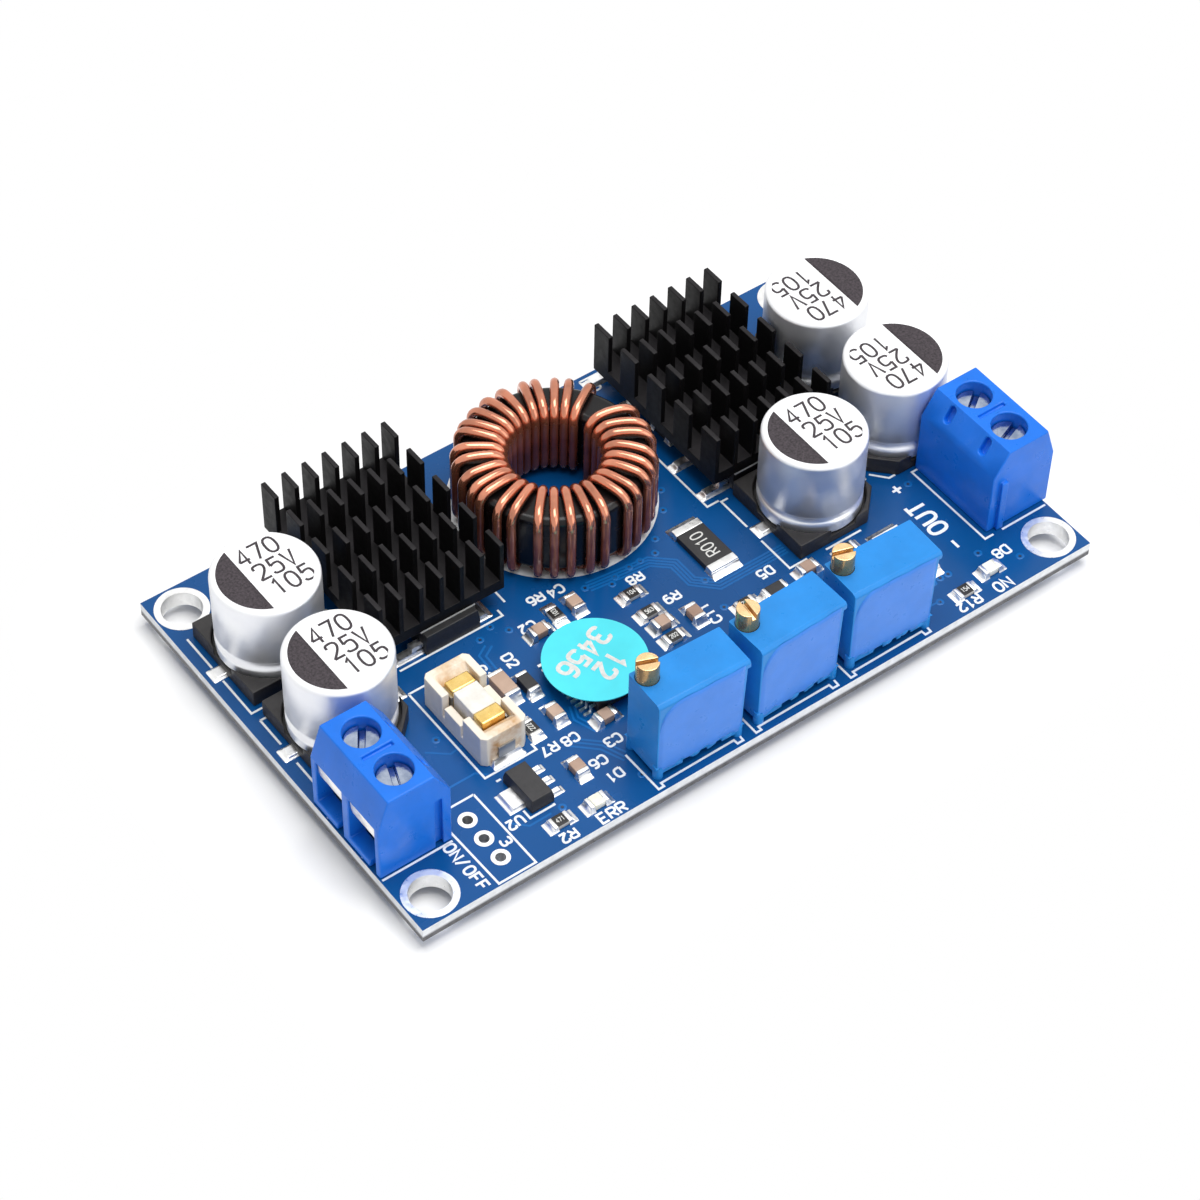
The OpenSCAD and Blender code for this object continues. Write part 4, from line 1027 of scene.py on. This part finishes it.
class CONVERTER_OT_capacitors(bpy.types.Operator):
    """Turns the capacitor cans, and prints their polarity marks and values"""
    bl_idname = "converter.capacitors"
    bl_label = "Capacitors"

    def execute(self, context):
        parts = context.scene.converter.parts
        metal = can_finish()
        ink = finish("Can ink", dim(parts.ink, 0.6), rough=(0.5, 0.7), second=dim(parts.ink, 1.9), patch=4200,
                     relief=0.006, grain=12000, specular=0.3)
        base = epoxy_finish("Base resin", srgb(36, 33, 33))
        patches, words = [], []
        for node in CANS:
            low, high = corners(node)
            centre, radius = (low + high) / 2, (high[0] - low[0]) / 2
            level = high[2] - FACE_DROP
            turn, way = (180, -1) if node in TURNED_CANS else (0, 1)
            shape = lathe(can_profile(low, high), centre, sides=96)
            add_piece(node + "_finish", shape, metal, stands_for=(node,), sharp=60)
            patches.append(ink_patch(centre, radius - INK_INSET, level + SINK, turn))
            words += [(text, CAN_LETTER, centre[0] + way * x, centre[1] + way * y, level, turn)
                      for text, x, y in CAN_WORDS]
        marks = add_piece("can_marks", join_shapes(patches), ink, closed=False)
        thicken(marks, INK, offset=1)
        lettering("can_values", words, CAN_LINE, ink, CAN_NARROW)
        for node in nodes_with("_base_"):
            round_copy(node, BASE_ROUND, base)
        return {"FINISHED"}


# Inductor

# Angle of the middle of the bare stretch, and how many turns lean at the end and how far
GAP_MIDDLE = 14.0
LEAN_TURNS = 6
END_LEAN = 15.0
# Wander of the turns as a share of their step, and the angles whose sines it follows
WANDER = 0.15
WANDER_ANGLES = (151, 67)
WIRE_BEND = 1.2
WIRE_GAP = 0.02
WIRE_LOW = -1.2
# Rise of the wire over the ring, and how much more and how often some turns rise
CROWN = 0.2
LIFT, LIFT_STEP = 0.05, 2.4
# Points on an upright leg and on a level run, and steps in a bend
LEG_POINTS, RUN_POINTS, BEND_STEPS = 5, 6, 6
# Depths below the wire's top between which the copper is painted darker, as painted shade, and turns less
# metallic
LEG_SHADE_START, LEG_SHADE_FULL = 0.3, 3.4


def winding_angles(turns, bare):
    """Angles of the turns inside and outside the ring: even, the last leaning inside, a wander outside."""
    step = (360 - bare) / turns
    number = np.arange(turns)
    even = GAP_MIDDLE + bare / 2 + (number + 0.5) * step
    lean = END_LEAN * np.maximum(0, number + 1 + LEAN_TURNS - turns) / LEAN_TURNS
    wander = sum(np.sin(np.radians(number * angle)) for angle in WANDER_ANGLES)
    return even + lean, even + step * WANDER * wander


def ring_sizes(wire):
    """Centre of the ring, and the radii and levels that the middle of the wire runs on."""
    low, high = corners("inductor_core")
    centre = (low + high) / 2
    points = values_of(NODES["inductor_core"].data.vertices, "co", 3) / MM
    radius = np.linalg.norm(points[:, :2] - centre[:2], axis=1)
    clear = wire / 2 + WIRE_GAP
    return centre, radius.min() - clear, radius.max() + clear, low[2] - clear, high[2] + clear


def wire_turn(r_in, r_out, z_low, z_high):
    """One turn in radius and height: a rounded rectangle, up outside, in above, down inside, out below."""
    bend = WIRE_BEND
    rise = np.linspace(z_low + bend, z_high - bend, LEG_POINTS + 2)[1:-1]
    run = np.linspace(r_out - bend, r_in + bend, RUN_POINTS + 2)[1:-1]
    legs = [(r_out, rise), (run, z_high), (r_in, rise[::-1]), (run[::-1], z_low)]
    bends = [(r_out - bend, z_low + bend), (r_out - bend, z_high - bend),
             (r_in + bend, z_high - bend), (r_in + bend, z_low + bend)]
    turn = []
    for number, (centre, leg) in enumerate(zip(bends, legs)):
        start = 90 * (number - 1)
        turn.append(arc(centre, bend, start, start + 90, BEND_STEPS))
        turn.append(np.stack(np.broadcast_arrays(*leg), -1))
    return turn


def winding_path(wire, turns, bare):
    """Middle line of the wire and, at each point, the direction round the ring.

    Each turn's top is slightly crowned. Its angle goes from the turn's outer to its inner angle and on
    below to the next turn's outer angle. The ends go straight down through the board.
    """
    centre, r_in, r_out, z_low, z_high = ring_sizes(wire)
    inside, outside = winding_angles(turns, bare)
    legs = wire_turn(r_in, r_out, z_low, z_high)
    radius, height = np.concatenate(legs).T
    inward = np.clip((r_out - radius) / (r_out - r_in), 0, 1)
    lower = height < (z_low + z_high) / 2
    returning = lower & (np.arange(len(radius)) > len(radius) / 2)
    after = np.append(outside[1:], outside[-1])
    angle = outside[:, None] + (inside - outside)[:, None] * inward
    angle = np.where(returning, after[:, None] + (inside - after)[:, None] * inward, angle)
    angle = np.radians(angle)
    crown = CROWN + LIFT * (1 + np.sin(np.arange(turns) * LIFT_STEP))[:, None]
    level = height + np.where(lower, 0, crown * np.sin(np.pi * inward))
    points = np.stack([centre[0] + radius * np.cos(angle), centre[1] + radius * np.sin(angle), level], -1)
    round_way = np.stack([-np.sin(angle), np.cos(angle), np.zeros_like(angle)], -1)
    used = slice(len(legs[0]), -len(legs[6]) - len(legs[7]))
    path, way = points.reshape(-1, 3)[used], round_way.reshape(-1, 3)[used]
    start, end = path[0].copy(), path[-1].copy()
    start[2] = end[2] = WIRE_LOW
    return np.concatenate([[start], path, [end]]), np.concatenate([way[:1], way, way[-1:]])


class CONVERTER_OT_inductor(bpy.types.Operator):
    """Winds the copper wire around the ring core"""
    bl_idname = "converter.inductor"
    bl_label = "Inductor"

    def execute(self, context):
        looks = context.scene.converter.winding
        path, way = winding_path(looks.wire, looks.turns, looks.bare)
        copper = finish("Enamelled copper", looks.copper, rough=(0.14, 0.26), drift=0.6, metallic=0.8,
                        patch=300, relief=0.003, grain=1800, coat=0.5)
        tree = copper.node_tree
        *_, high = ring_sizes(looks.wire)
        # Painted shade on the legs: darker and less metallic copper further down the ring
        legs = along(tree, "Z", high - LEG_SHADE_START, high - LEG_SHADE_FULL)
        second_tone(copper, legs, looks.painted_leg_shade, drift=0.5, patch=260)
        tree.links.new(ramp(tree, legs, low=0.85, high=0.3), tree.nodes["Surface"].inputs["Metallic"])
        shape = tube(path, way, looks.wire / 2)
        add_piece("winding", shape, copper, stands_for=("inductor_winding",), sharp=75)
        core = finish("Core coating", srgb(22, 20, 21), rough=(0.16, 0.3), second=srgb(13, 12, 13), patch=300,
                      relief=0.02, grain=3000, specular=0.3)
        paint("inductor_core", core)
        return {"FINISHED"}


# Heatsinks and transistors

# How much paler the tops of the fins are painted than their sides: a painted highlight
FIN_TOP_LIGHT = 5.0
FIN_ROUND = 0.07
TRANSISTOR_ROUND = 0.08


class CONVERTER_OT_heatsinks(bpy.types.Operator):
    """Finishes the heatsinks, their glue and the transistors below them"""
    bl_idname = "converter.heatsinks"
    bl_label = "Heatsinks"

    def execute(self, context):
        tone = context.scene.converter.parts.anodised
        black = finish("Black anodising", tone, rough=(0.4, 0.55), drift=0.7, patch=500, relief=0.008,
                       grain=9000, specular=0.15)
        # Painted highlight: faces that look up are painted paler than the fins' sides
        painted_top_light = facing(black.node_tree, "Z", *TOP_LIGHT_FACING)
        second_tone(black, painted_top_light, dim(tone, FIN_TOP_LIGHT), drift=0.6, patch=500)
        glue = finish("Thermal glue", srgb(214, 214, 210), rough=(0.5, 0.7), second=srgb(186, 186, 182),
                      patch=700, relief=0.02)
        # Black resin, painted a little darker than the chip resin as painted shade under the heatsinks
        resin = epoxy_finish("Transistor resin", srgb(27, 26, 28))
        for end in ("input", "output"):
            round_copy(end + "_heatsink", FIN_ROUND, black)
            paint(end + "_thermal_pad", glue)
        for node in nodes_with("_transistor_"):
            round_copy(node, TRANSISTOR_ROUND, resin)
        return {"FINISHED"}


# Screw terminals

HOUSING_ROUND = 0.16
SCREW_ROUND = 0.1
# Rounding of a clamp's edges, and the length up to which its edges stay sharp
CLAMP_ROUND, CLAMP_SHORT = 0.08, 0.4
LEAF_HALF = 1.95
LEAF_T = 0.15
# Profile of a wire leaf: depth from the front of the housing and height over the board
LEAF_LINE = [(0.3, 6.3), (0.35, 5.2), (0.55, 4.1), (1.0, 3.4), (1.75, 3.1)]


def wire_leaf(end, pole):
    """Bright leaf in the upper half of a wire entry: a rounded profile carried across the entry."""
    low, high = corners(end + "_terminal_housing")
    side = 1 if end == "input" else -1
    front = low[0] if end == "input" else high[0]
    across = middle_of(f"{end}_screw_{pole}")[1] + side * np.array([-LEAF_HALF, LEAF_HALF])
    line = soften(LEAF_LINE)
    x, z = front + side * line[:, :1], BOARD_TOP + line[:, 1:]
    return grid_shape(np.stack(np.broadcast_arrays(x, across, z), -1))


class CONVERTER_OT_terminals(bpy.types.Operator):
    """Moulds the screw terminals and finishes their screws, clamps, contacts and wire leaves"""
    bl_idname = "converter.terminals"
    bl_label = "Screw terminals"

    def execute(self, context):
        blue = plastic_finish("Terminal plastic", context.scene.converter.parts.terminal)
        steel = finish("Zinc plated steel", (0.5, 0.56, 0.68), rough=(0.08, 0.2), second=(0.26, 0.32, 0.45),
                       metallic=1.0, patch=700, relief=0.03, grain=1500)
        cage = finish("Clamp steel", (0.70, 0.70, 0.69), rough=(0.25, 0.42), second=(0.55, 0.54, 0.52),
                      metallic=1.0, patch=600, relief=0.01, grain=4000)
        bright = finish("Leaf tin", (0.96, 0.95, 0.93), rough=(0.35, 0.5), second=(0.9, 0.88, 0.85),
                        metallic=1.0, patch=500, relief=0.006, grain=3000)
        leaves = []
        for end in ("input", "output"):
            round_copy(end + "_terminal_housing", HOUSING_ROUND, blue, segments=3)
            paint(end + "_contacts", cage)
            for pole in ("front", "rear"):
                round_copy(f"{end}_screw_{pole}", SCREW_ROUND, steel)
                round_copy(f"{end}_clamp_{pole}", CLAMP_ROUND, cage, shortest=CLAMP_SHORT)
                leaves.append(wire_leaf(end, pole))
        sheet = add_piece("wire_leaves", join_shapes(leaves), bright, closed=False, sharp=70)
        thicken(sheet, LEAF_T, offset=0)
        return {"FINISHED"}


# Trimmers

# Place and turn of each trimmer, and half its length and width
TRIMMERS = [(-7.45, -19.6, -2), (3.7, -19.6, 2), (14.85, -19.6, -2)]
TRIMMER_HALF = (4.75, 2.415)
TRIMMER_H = 10.0
ADJUSTER_ROUND = 0.08
# Rounding of a case's edges, and the length and the height over the board up to which its edges stay sharp
CASE_ROUND = 0.14
CASE_SHORT, CASE_LOW = 0.7, 1.0
# Resin panel: thickness, gaps at the top and sides, height and share of its round corner, and its foot
POTTING_T = 0.13
POTTING_EDGE = 0.35
POTTING_INSET = 0.12
POTTING_DROP = 3.4
POTTING_ARC = 0.24
POTTING_FOOT = 1.0
# Waves of the panel's edges: height, speed and share of the seed, which steps from trimmer to trimmer
TOP_WAVES = ((0.05, 19, 1),)
FOOT_WAVES = ((0.12, 23, 1), (0.1, 41, 2))
SEED_STEP = 1.7
# Rows of points up the panel, and how steeply it rises at its level edges and at its ends
PANEL_ROWS = np.concatenate([[0, 0.02], np.linspace(0.05, 0.95, 13), [0.98, 1]])
LEVEL_STEEP, END_STEEP = 45, 30
# Drops of resin: place along the front and size, shift from trimmer to trimmer, stretch and depth
LUMPS = ((-0.28, 0.5), (-0.07, 0.58), (0.13, 0.5), (0.31, 0.56))
LUMP_SHIFT = 0.015
LUMP_STRETCH = (1.15, 0.5, 0.75)
LUMP_SINK, LUMP_DROP = 0.12, 0.05


def on_trimmer(place, x, y, z):
    """Points given on a trimmer, from its middle and the board, turned and moved to the trimmer's place."""
    x, y, z = np.broadcast_arrays(x, y, BOARD_TOP + z)
    plan = turned(np.stack([x, y], -1), place[2]) + place[:2]
    return np.concatenate([plan, z[..., None]], -1)


def waves(share, parts, seed):
    """Sum of sine waves along a share of a length."""
    return sum(height * np.sin(share * speed + shift * seed) for height, speed, shift in parts)


def edge_rise(share, steep):
    """Rise from 0 at both ends of a share to 1 a little way in."""
    return np.clip(np.minimum(share, 1 - share) * steep, 0, 1)


def potting_panel(place, seed):
    """Resin panel on a trimmer's front: level above with a quarter ellipse at the left corner, wavy below."""
    share = np.linspace(0, 1, 61)[:, None]
    corner = np.clip(1 - share / POTTING_ARC, 0, 1)
    top = TRIMMER_H - POTTING_EDGE - POTTING_DROP * (1 - np.sqrt(1 - corner ** 2))
    top = top + waves(share, TOP_WAVES, seed)
    bottom = POTTING_FOOT + waves(share, FOOT_WAVES, seed)
    rise = edge_rise(PANEL_ROWS, LEVEL_STEEP) * edge_rise(share, END_STEEP)
    x = (share - 0.5) * 2 * (TRIMMER_HALF[0] - POTTING_INSET)
    y = -TRIMMER_HALF[1] + SINK - (POTTING_T + SINK) * rise
    return grid_shape(on_trimmer(place, x, y, bottom + (top - bottom) * PANEL_ROWS))


def potting_lump(place, along_front, radius):
    """Drop of resin at the foot of a trimmer's front: a flattened ball."""
    turn = np.linspace(0, 2 * np.pi, 17)[:, None]
    rise = np.linspace(-np.pi / 2, np.pi / 2, 9)
    long, deep, tall = np.array(LUMP_STRETCH) * radius
    x = along_front * 2 * TRIMMER_HALF[0] + long * np.cos(turn) * np.cos(rise)
    y = -TRIMMER_HALF[1] + LUMP_SINK + deep * np.sin(turn) * np.cos(rise)
    return grid_shape(on_trimmer(place, x, y, POTTING_FOOT - LUMP_DROP + tall * np.sin(rise)))


class CONVERTER_OT_trimmers(bpy.types.Operator):
    """Moulds the trimmers, pots their fronts and finishes their brass screws"""
    bl_idname = "converter.trimmers"
    bl_label = "Trimmers"

    def execute(self, context):
        parts = context.scene.converter.parts
        blue = plastic_finish("Trimmer plastic", parts.trimmer)
        resin = finish("Potting resin", parts.potting, rough=(0.26, 0.42), drift=0.9, patch=350, relief=0.02,
                       grain=2200, specular=0.3)
        brass = finish("Brass", (0.6, 0.38, 0.17), rough=(0.2, 0.35), second=(0.4, 0.24, 0.1), metallic=0.8,
                       patch=500, relief=0.008, grain=5000)
        # Painted highlight: the tops of the brass screws are painted a paler, warmer tone than their sides
        painted_top_light = facing(brass.node_tree, "Z", *TOP_LIGHT_FACING)
        second_tone(brass, painted_top_light, (0.95, 0.68, 0.38), second=(0.82, 0.52, 0.25), patch=900)
        panels, lumps = [], []
        for number, place in enumerate(TRIMMERS, 1):
            bore = np.array([*middle_of(f"trimmer_screw_{number}")[:2], BOARD_TOP + TRIMMER_H])
            round_copy(f"trimmer_case_{number}", CASE_ROUND, blue, segments=3, shortest=CASE_SHORT,
                       lowest=BOARD_TOP + CASE_LOW, bore=bore)
            round_copy(f"trimmer_screw_{number}", ADJUSTER_ROUND, brass)
            panels.append(potting_panel(place, number * SEED_STEP))
            lumps += [potting_lump(place, share + LUMP_SHIFT * number, radius) for share, radius in LUMPS]
        add_piece("trimmer_potting", join_shapes(panels), resin, closed=False, sharp=60)
        add_piece("trimmer_lumps", join_shapes(lumps), blue)
        return {"FINISHED"}


# Fuse

# Rounding of the holder, the end caps and the tube
HOLDER_ROUND, CAP_ROUND, TUBE_ROUND = 0.1, 0.18, 0.12
# Distances from the holder's middle between which the stain inside it fades out
STAIN_FULL, STAIN_END = 1.6, 1.9


class CONVERTER_OT_fuse(bpy.types.Operator):
    """Finishes the fuse, its holder and its clips"""
    bl_idname = "converter.fuse"
    bl_label = "Fuse"

    def execute(self, context):
        tone = context.scene.converter.parts.holder
        ivory = plastic_finish("Holder plastic", tone, (0.35, 0.5))
        tree = ivory.node_tree
        centre = float(middle_of("fuse_tube")[0])
        inside = combine(tree, "MULTIPLY", along(tree, "X", centre - STAIN_END, centre - STAIN_FULL),
                         along(tree, "X", centre + STAIN_END, centre + STAIN_FULL))
        stain = combine(tree, "MULTIPLY", inside, cloud(tree, 700.0))
        second_tone(ivory, stain, srgb(196, 150, 100), second=srgb(226, 196, 156), patch=500)
        gold = finish("Gold plating", (0.95, 0.70, 0.26), rough=(0.14, 0.28), second=(0.86, 0.58, 0.18),
                      metallic=1.0, patch=700, relief=0.006)
        white = finish("Fuse ceramic", srgb(238, 236, 230), rough=(0.4, 0.55), second=srgb(222, 218, 208),
                       patch=800, relief=0.01)
        round_copy("fuse_holder", HOLDER_ROUND, ivory)
        round_copy("fuse_caps", CAP_ROUND, gold, segments=3)
        round_copy("fuse_tube", TUBE_ROUND, white)
        # Painted shade: the clips' tin is painted dark grey, as they sit in the holder's recesses
        paint("fuse_clips", tin_finish("Shaded clip tin", (0.46, 0.46, 0.45), (0.3, 0.45)))
        return {"FINISHED"}


# Chip parts

CODES = ("103", "222", "471", "104", "563", "202", "393", "101", "154")
CODE_HEIGHT, CODE_LINE = 0.46, 0.08
SHUNT_CODE = "R010"
SHUNT_HEIGHT, SHUNT_LINE = 1.3, 0.15
SHUNT_TURN = 90
CODE_NARROW = 0.7
# Numbers on the sticker: text, height and place
STICKER_NUMBERS = [("12", 2.0, -8.6, -9.9), ("3456", 2.0, -9.7, -7.3)]
STICKER_TURN = 200.0
STICKER_LINE = 0.42
STICKER_NARROW = 0.9
END_ROUND = 0.08
RESISTOR_ROUND = 0.05
CERAMIC_ROUND = 0.09
PACKAGE_ROUND = 0.07


def resistor_words():
    """Value codes on the resistors, each read across its part."""
    words = []
    for code, (low, high) in zip(CODES, solids_in("chip_resistors")):
        centre, size = (low + high) / 2, high - low
        words.append((code, CODE_HEIGHT, *centre[:2], high[2], 0 if size[1] > size[0] else 90))
    return words


class CONVERTER_OT_chips(bpy.types.Operator):
    """Finishes the chip parts, the regulator, the control chip and its sticker"""
    bl_idname = "converter.chips"
    bl_label = "Chip parts"

    def execute(self, context):
        looks = context.scene.converter
        resin = epoxy_finish("Chip resin")
        glass = finish("Resistor glaze", srgb(28, 27, 28), rough=(0.25, 0.4), second=srgb(18, 18, 20),
                       patch=900, relief=0.006)
        tree = glass.node_tree
        side = combine(tree, "SUBTRACT", 1.0, facing(tree, "Z", start=0.2, end=0.6))
        second_tone(glass, side, srgb(215, 212, 205), second=srgb(190, 186, 178), patch=900)
        ceramic = finish("Fired ceramic", srgb(198, 170, 150), rough=(0.35, 0.5), second=srgb(152, 122, 104),
                         patch=160, relief=0.012)
        lens = finish("Lamp lens", srgb(244, 244, 236), rough=(0.15, 0.3), second=srgb(232, 230, 205),
                      patch=700, relief=0.01, coat=0.5)
        paper = finish("Sticker paper", looks.parts.sticker, rough=(0.4, 0.55), drift=0.85, patch=180,
                       relief=0.006)
        white = finish("Chip print", srgb(228, 228, 224), rough=(0.5, 0.65), second=srgb(205, 205, 200),
                       patch=2000)
        round_copy("chip_ends", END_ROUND, tin_finish("Chip ends"))
        round_copy("chip_resistors", RESISTOR_ROUND, glass)
        round_copy("chip_capacitors", CERAMIC_ROUND, ceramic)
        round_copy("indicator_lamps", CERAMIC_ROUND, lens)
        for node in ("diodes", "regulator", "control_chip", "middle_shunt", "output_shunt"):
            round_copy(node, PACKAGE_ROUND, resin)
        paint("round_sticker", paper)
        level = corners("round_sticker")[1][2]
        numbers = [(text, height, x, y, level, STICKER_TURN) for text, height, x, y in STICKER_NUMBERS]
        lettering("sticker_numbers", numbers, STICKER_LINE, white, STICKER_NARROW)
        lettering("chip_codes", resistor_words(), CODE_LINE, white, CODE_NARROW)
        shunts = [(SHUNT_CODE, SHUNT_HEIGHT, *middle_of(node)[:2], corners(node)[1][2], SHUNT_TURN)
                  for node in ("middle_shunt", "output_shunt")]
        lettering("shunt_codes", shunts, SHUNT_LINE, white, CODE_NARROW)
        return {"FINISHED"}


# Studio, in metres

CAMERA_PLACE = (-0.134149, -0.170827, 0.245159)
CAMERA_TURN = (41.25758, -0.92003, -36.60335)
CAMERA_LENS = 103.395
CAMERA_SENSOR = 36
CAMERA_NEAR = 0.01
# Rings of the floor, its gap below the part, its tone, and where its shadows begin and end to fade
FLOOR_RINGS = (0.0, 0.1, 0.3, 1.0, 2.5)
FLOOR_GAP = 0.0001
FLOOR_TONE = (0.93, 0.93, 0.93, 1.0)
FADE_START, FADE_END = 0.003, 0.013
# Place and size of the lamps
KEY_PLACE, KEY_SIZE = (0.06, -0.02, 0.6), 0.45
FILL_PLACE, FILL_SIZE = (0.2, -0.5, 0.35), 0.5


def seen_rays(tree):
    """1 for rays that come straight, by mirror or through glass from the camera."""
    rays = shade(tree, "ShaderNodeLightPath").outputs
    both = combine(tree, "MAXIMUM", rays["Is Camera Ray"], rays["Is Glossy Ray"])
    return combine(tree, "MAXIMUM", both, rays["Is Transmission Ray"])


def floor_finish():
    """Pale floor that keeps the shadow near the board and turns white with the distance from it."""
    material = bpy.data.materials.new("Studio floor")
    tree = empty_tree(material)
    half = tuple(float(size) * MM for size in BOARD_HIGH[:2]) + (1.0,)
    past = places(tree)
    for operation, other in (("ABSOLUTE", {}), ("SUBTRACT", {1: half}), ("MAXIMUM", {1: (0, 0, 0)})):
        past = shade(tree, "ShaderNodeVectorMath", {0: past, **other}, operation=operation).outputs[0]
    away = shade(tree, "ShaderNodeVectorMath", {0: past}, operation="LENGTH").outputs["Value"]
    fade = shade(tree, "ShaderNodeMapRange", {"Value": away, "From Min": FADE_START, "From Max": FADE_END},
                 interpolation_type="SMOOTHSTEP")
    factor = combine(tree, "MULTIPLY", fade.outputs["Result"], seen_rays(tree))
    matt = shade(tree, "ShaderNodeBsdfDiffuse", {"Color": FLOOR_TONE})
    white = shade(tree, "ShaderNodeEmission", {"Color": WHITE, "Strength": 1.0})
    both = shade(tree, "ShaderNodeMixShader", {0: factor, 1: matt.outputs[0], 2: white.outputs[0]})
    shade(tree, "ShaderNodeOutputMaterial", {"Surface": both.outputs[0]})
    return material


def add_floor():
    """Flat round floor just below the part."""
    lowest = CAD_BOX[0][2] - FLOOR_GAP
    points, quads = lathe([(radius, lowest) for radius in FLOOR_RINGS], (0, 0))
    mesh = bpy.data.meshes.new("studio_floor")
    mesh.from_pydata(points.tolist(), [], quads.tolist())
    tidy_mesh(mesh, closed=False)
    mesh.materials.append(floor_finish())
    floor = bpy.data.objects.new("studio_floor", mesh)
    bpy.context.scene.collection.objects.link(floor)


def add_world(scene, ambient):
    """Even light from all round, which the camera and mirrors see as white."""
    scene.world = bpy.data.worlds.new("Studio")
    tree = empty_tree(scene.world)
    soft = shade(tree, "ShaderNodeBackground", {"Color": WHITE, "Strength": ambient})
    white = shade(tree, "ShaderNodeBackground", {"Color": WHITE, "Strength": 1.0})
    both = shade(tree, "ShaderNodeMixShader", {0: seen_rays(tree), 1: soft.outputs[0], 2: white.outputs[0]})
    shade(tree, "ShaderNodeOutputWorld", {"Surface": both.outputs[0]})


def add_lamp(name, place, size, power):
    """Square soft lamp that points at the origin."""
    lamp = bpy.data.lights.new(name, "AREA")
    lamp.size = size
    lamp.energy = power
    obj = bpy.data.objects.new(name, lamp)
    bpy.context.scene.collection.objects.link(obj)
    obj.location = place
    obj.rotation_euler = (-obj.location).to_track_quat("-Z", "Y").to_euler()


def add_camera(scene):
    """Camera that sees the part as the photograph does."""
    camera = bpy.data.cameras.new("Camera")
    camera.sensor_width = CAMERA_SENSOR
    camera.lens = CAMERA_LENS
    camera.clip_start = CAMERA_NEAR
    obj = bpy.data.objects.new("Camera", camera)
    scene.collection.objects.link(obj)
    obj.location = CAMERA_PLACE
    obj.rotation_euler = [math.radians(angle) for angle in CAMERA_TURN]
    scene.camera = obj


class CONVERTER_OT_stage(bpy.types.Operator):
    """Sets up the floor, the lamps, the world and the camera"""
    bl_idname = "converter.stage"
    bl_label = "Studio"

    def execute(self, context):
        scene = context.scene
        looks = scene.converter.stage
        add_floor()
        add_lamp("Key", KEY_PLACE, KEY_SIZE, looks.key)
        add_lamp("Fill", FILL_PLACE, FILL_SIZE, looks.fill)
        add_world(scene, looks.ambient)
        add_camera(scene)
        scene.view_settings.view_transform = "Standard"
        return {"FINISHED"}


OPERATORS = (
    CONVERTER_OT_board, CONVERTER_OT_print, CONVERTER_OT_solder, CONVERTER_OT_capacitors,
    CONVERTER_OT_inductor, CONVERTER_OT_heatsinks, CONVERTER_OT_terminals, CONVERTER_OT_trimmers,
    CONVERTER_OT_fuse, CONVERTER_OT_chips, CONVERTER_OT_stage,
)


class CONVERTER_PT_dress(bpy.types.Panel):
    """Lists the steps of the dress"""
    bl_idname = "CONVERTER_PT_dress"
    bl_label = "Converter module"
    bl_space_type = "VIEW_3D"
    bl_region_type = "UI"
    bl_category = "Converter"

    def draw(self, context):
        for operator in OPERATORS:
            self.layout.operator(operator.bl_idname)


CLASSES = (BoardLooks, PartLooks, WindingLooks, StageLooks, ConverterLooks, *OPERATORS, CONVERTER_PT_dress)


def register():
    """Registers the settings, the steps and the panel."""
    for one in CLASSES:
        bpy.utils.register_class(one)
    bpy.types.Scene.converter = PointerProperty(type=ConverterLooks)


def unregister():
    """Takes the panel, the steps and the settings out again."""
    del bpy.types.Scene.converter
    for one in reversed(CLASSES):
        bpy.utils.unregister_class(one)


def main():
    """Dresses the part step by step."""
    register()
    for operator in OPERATORS:
        group, step = operator.bl_idname.split(".")
        getattr(getattr(bpy.ops, group), step)()


if __name__ == "__main__":
    main()
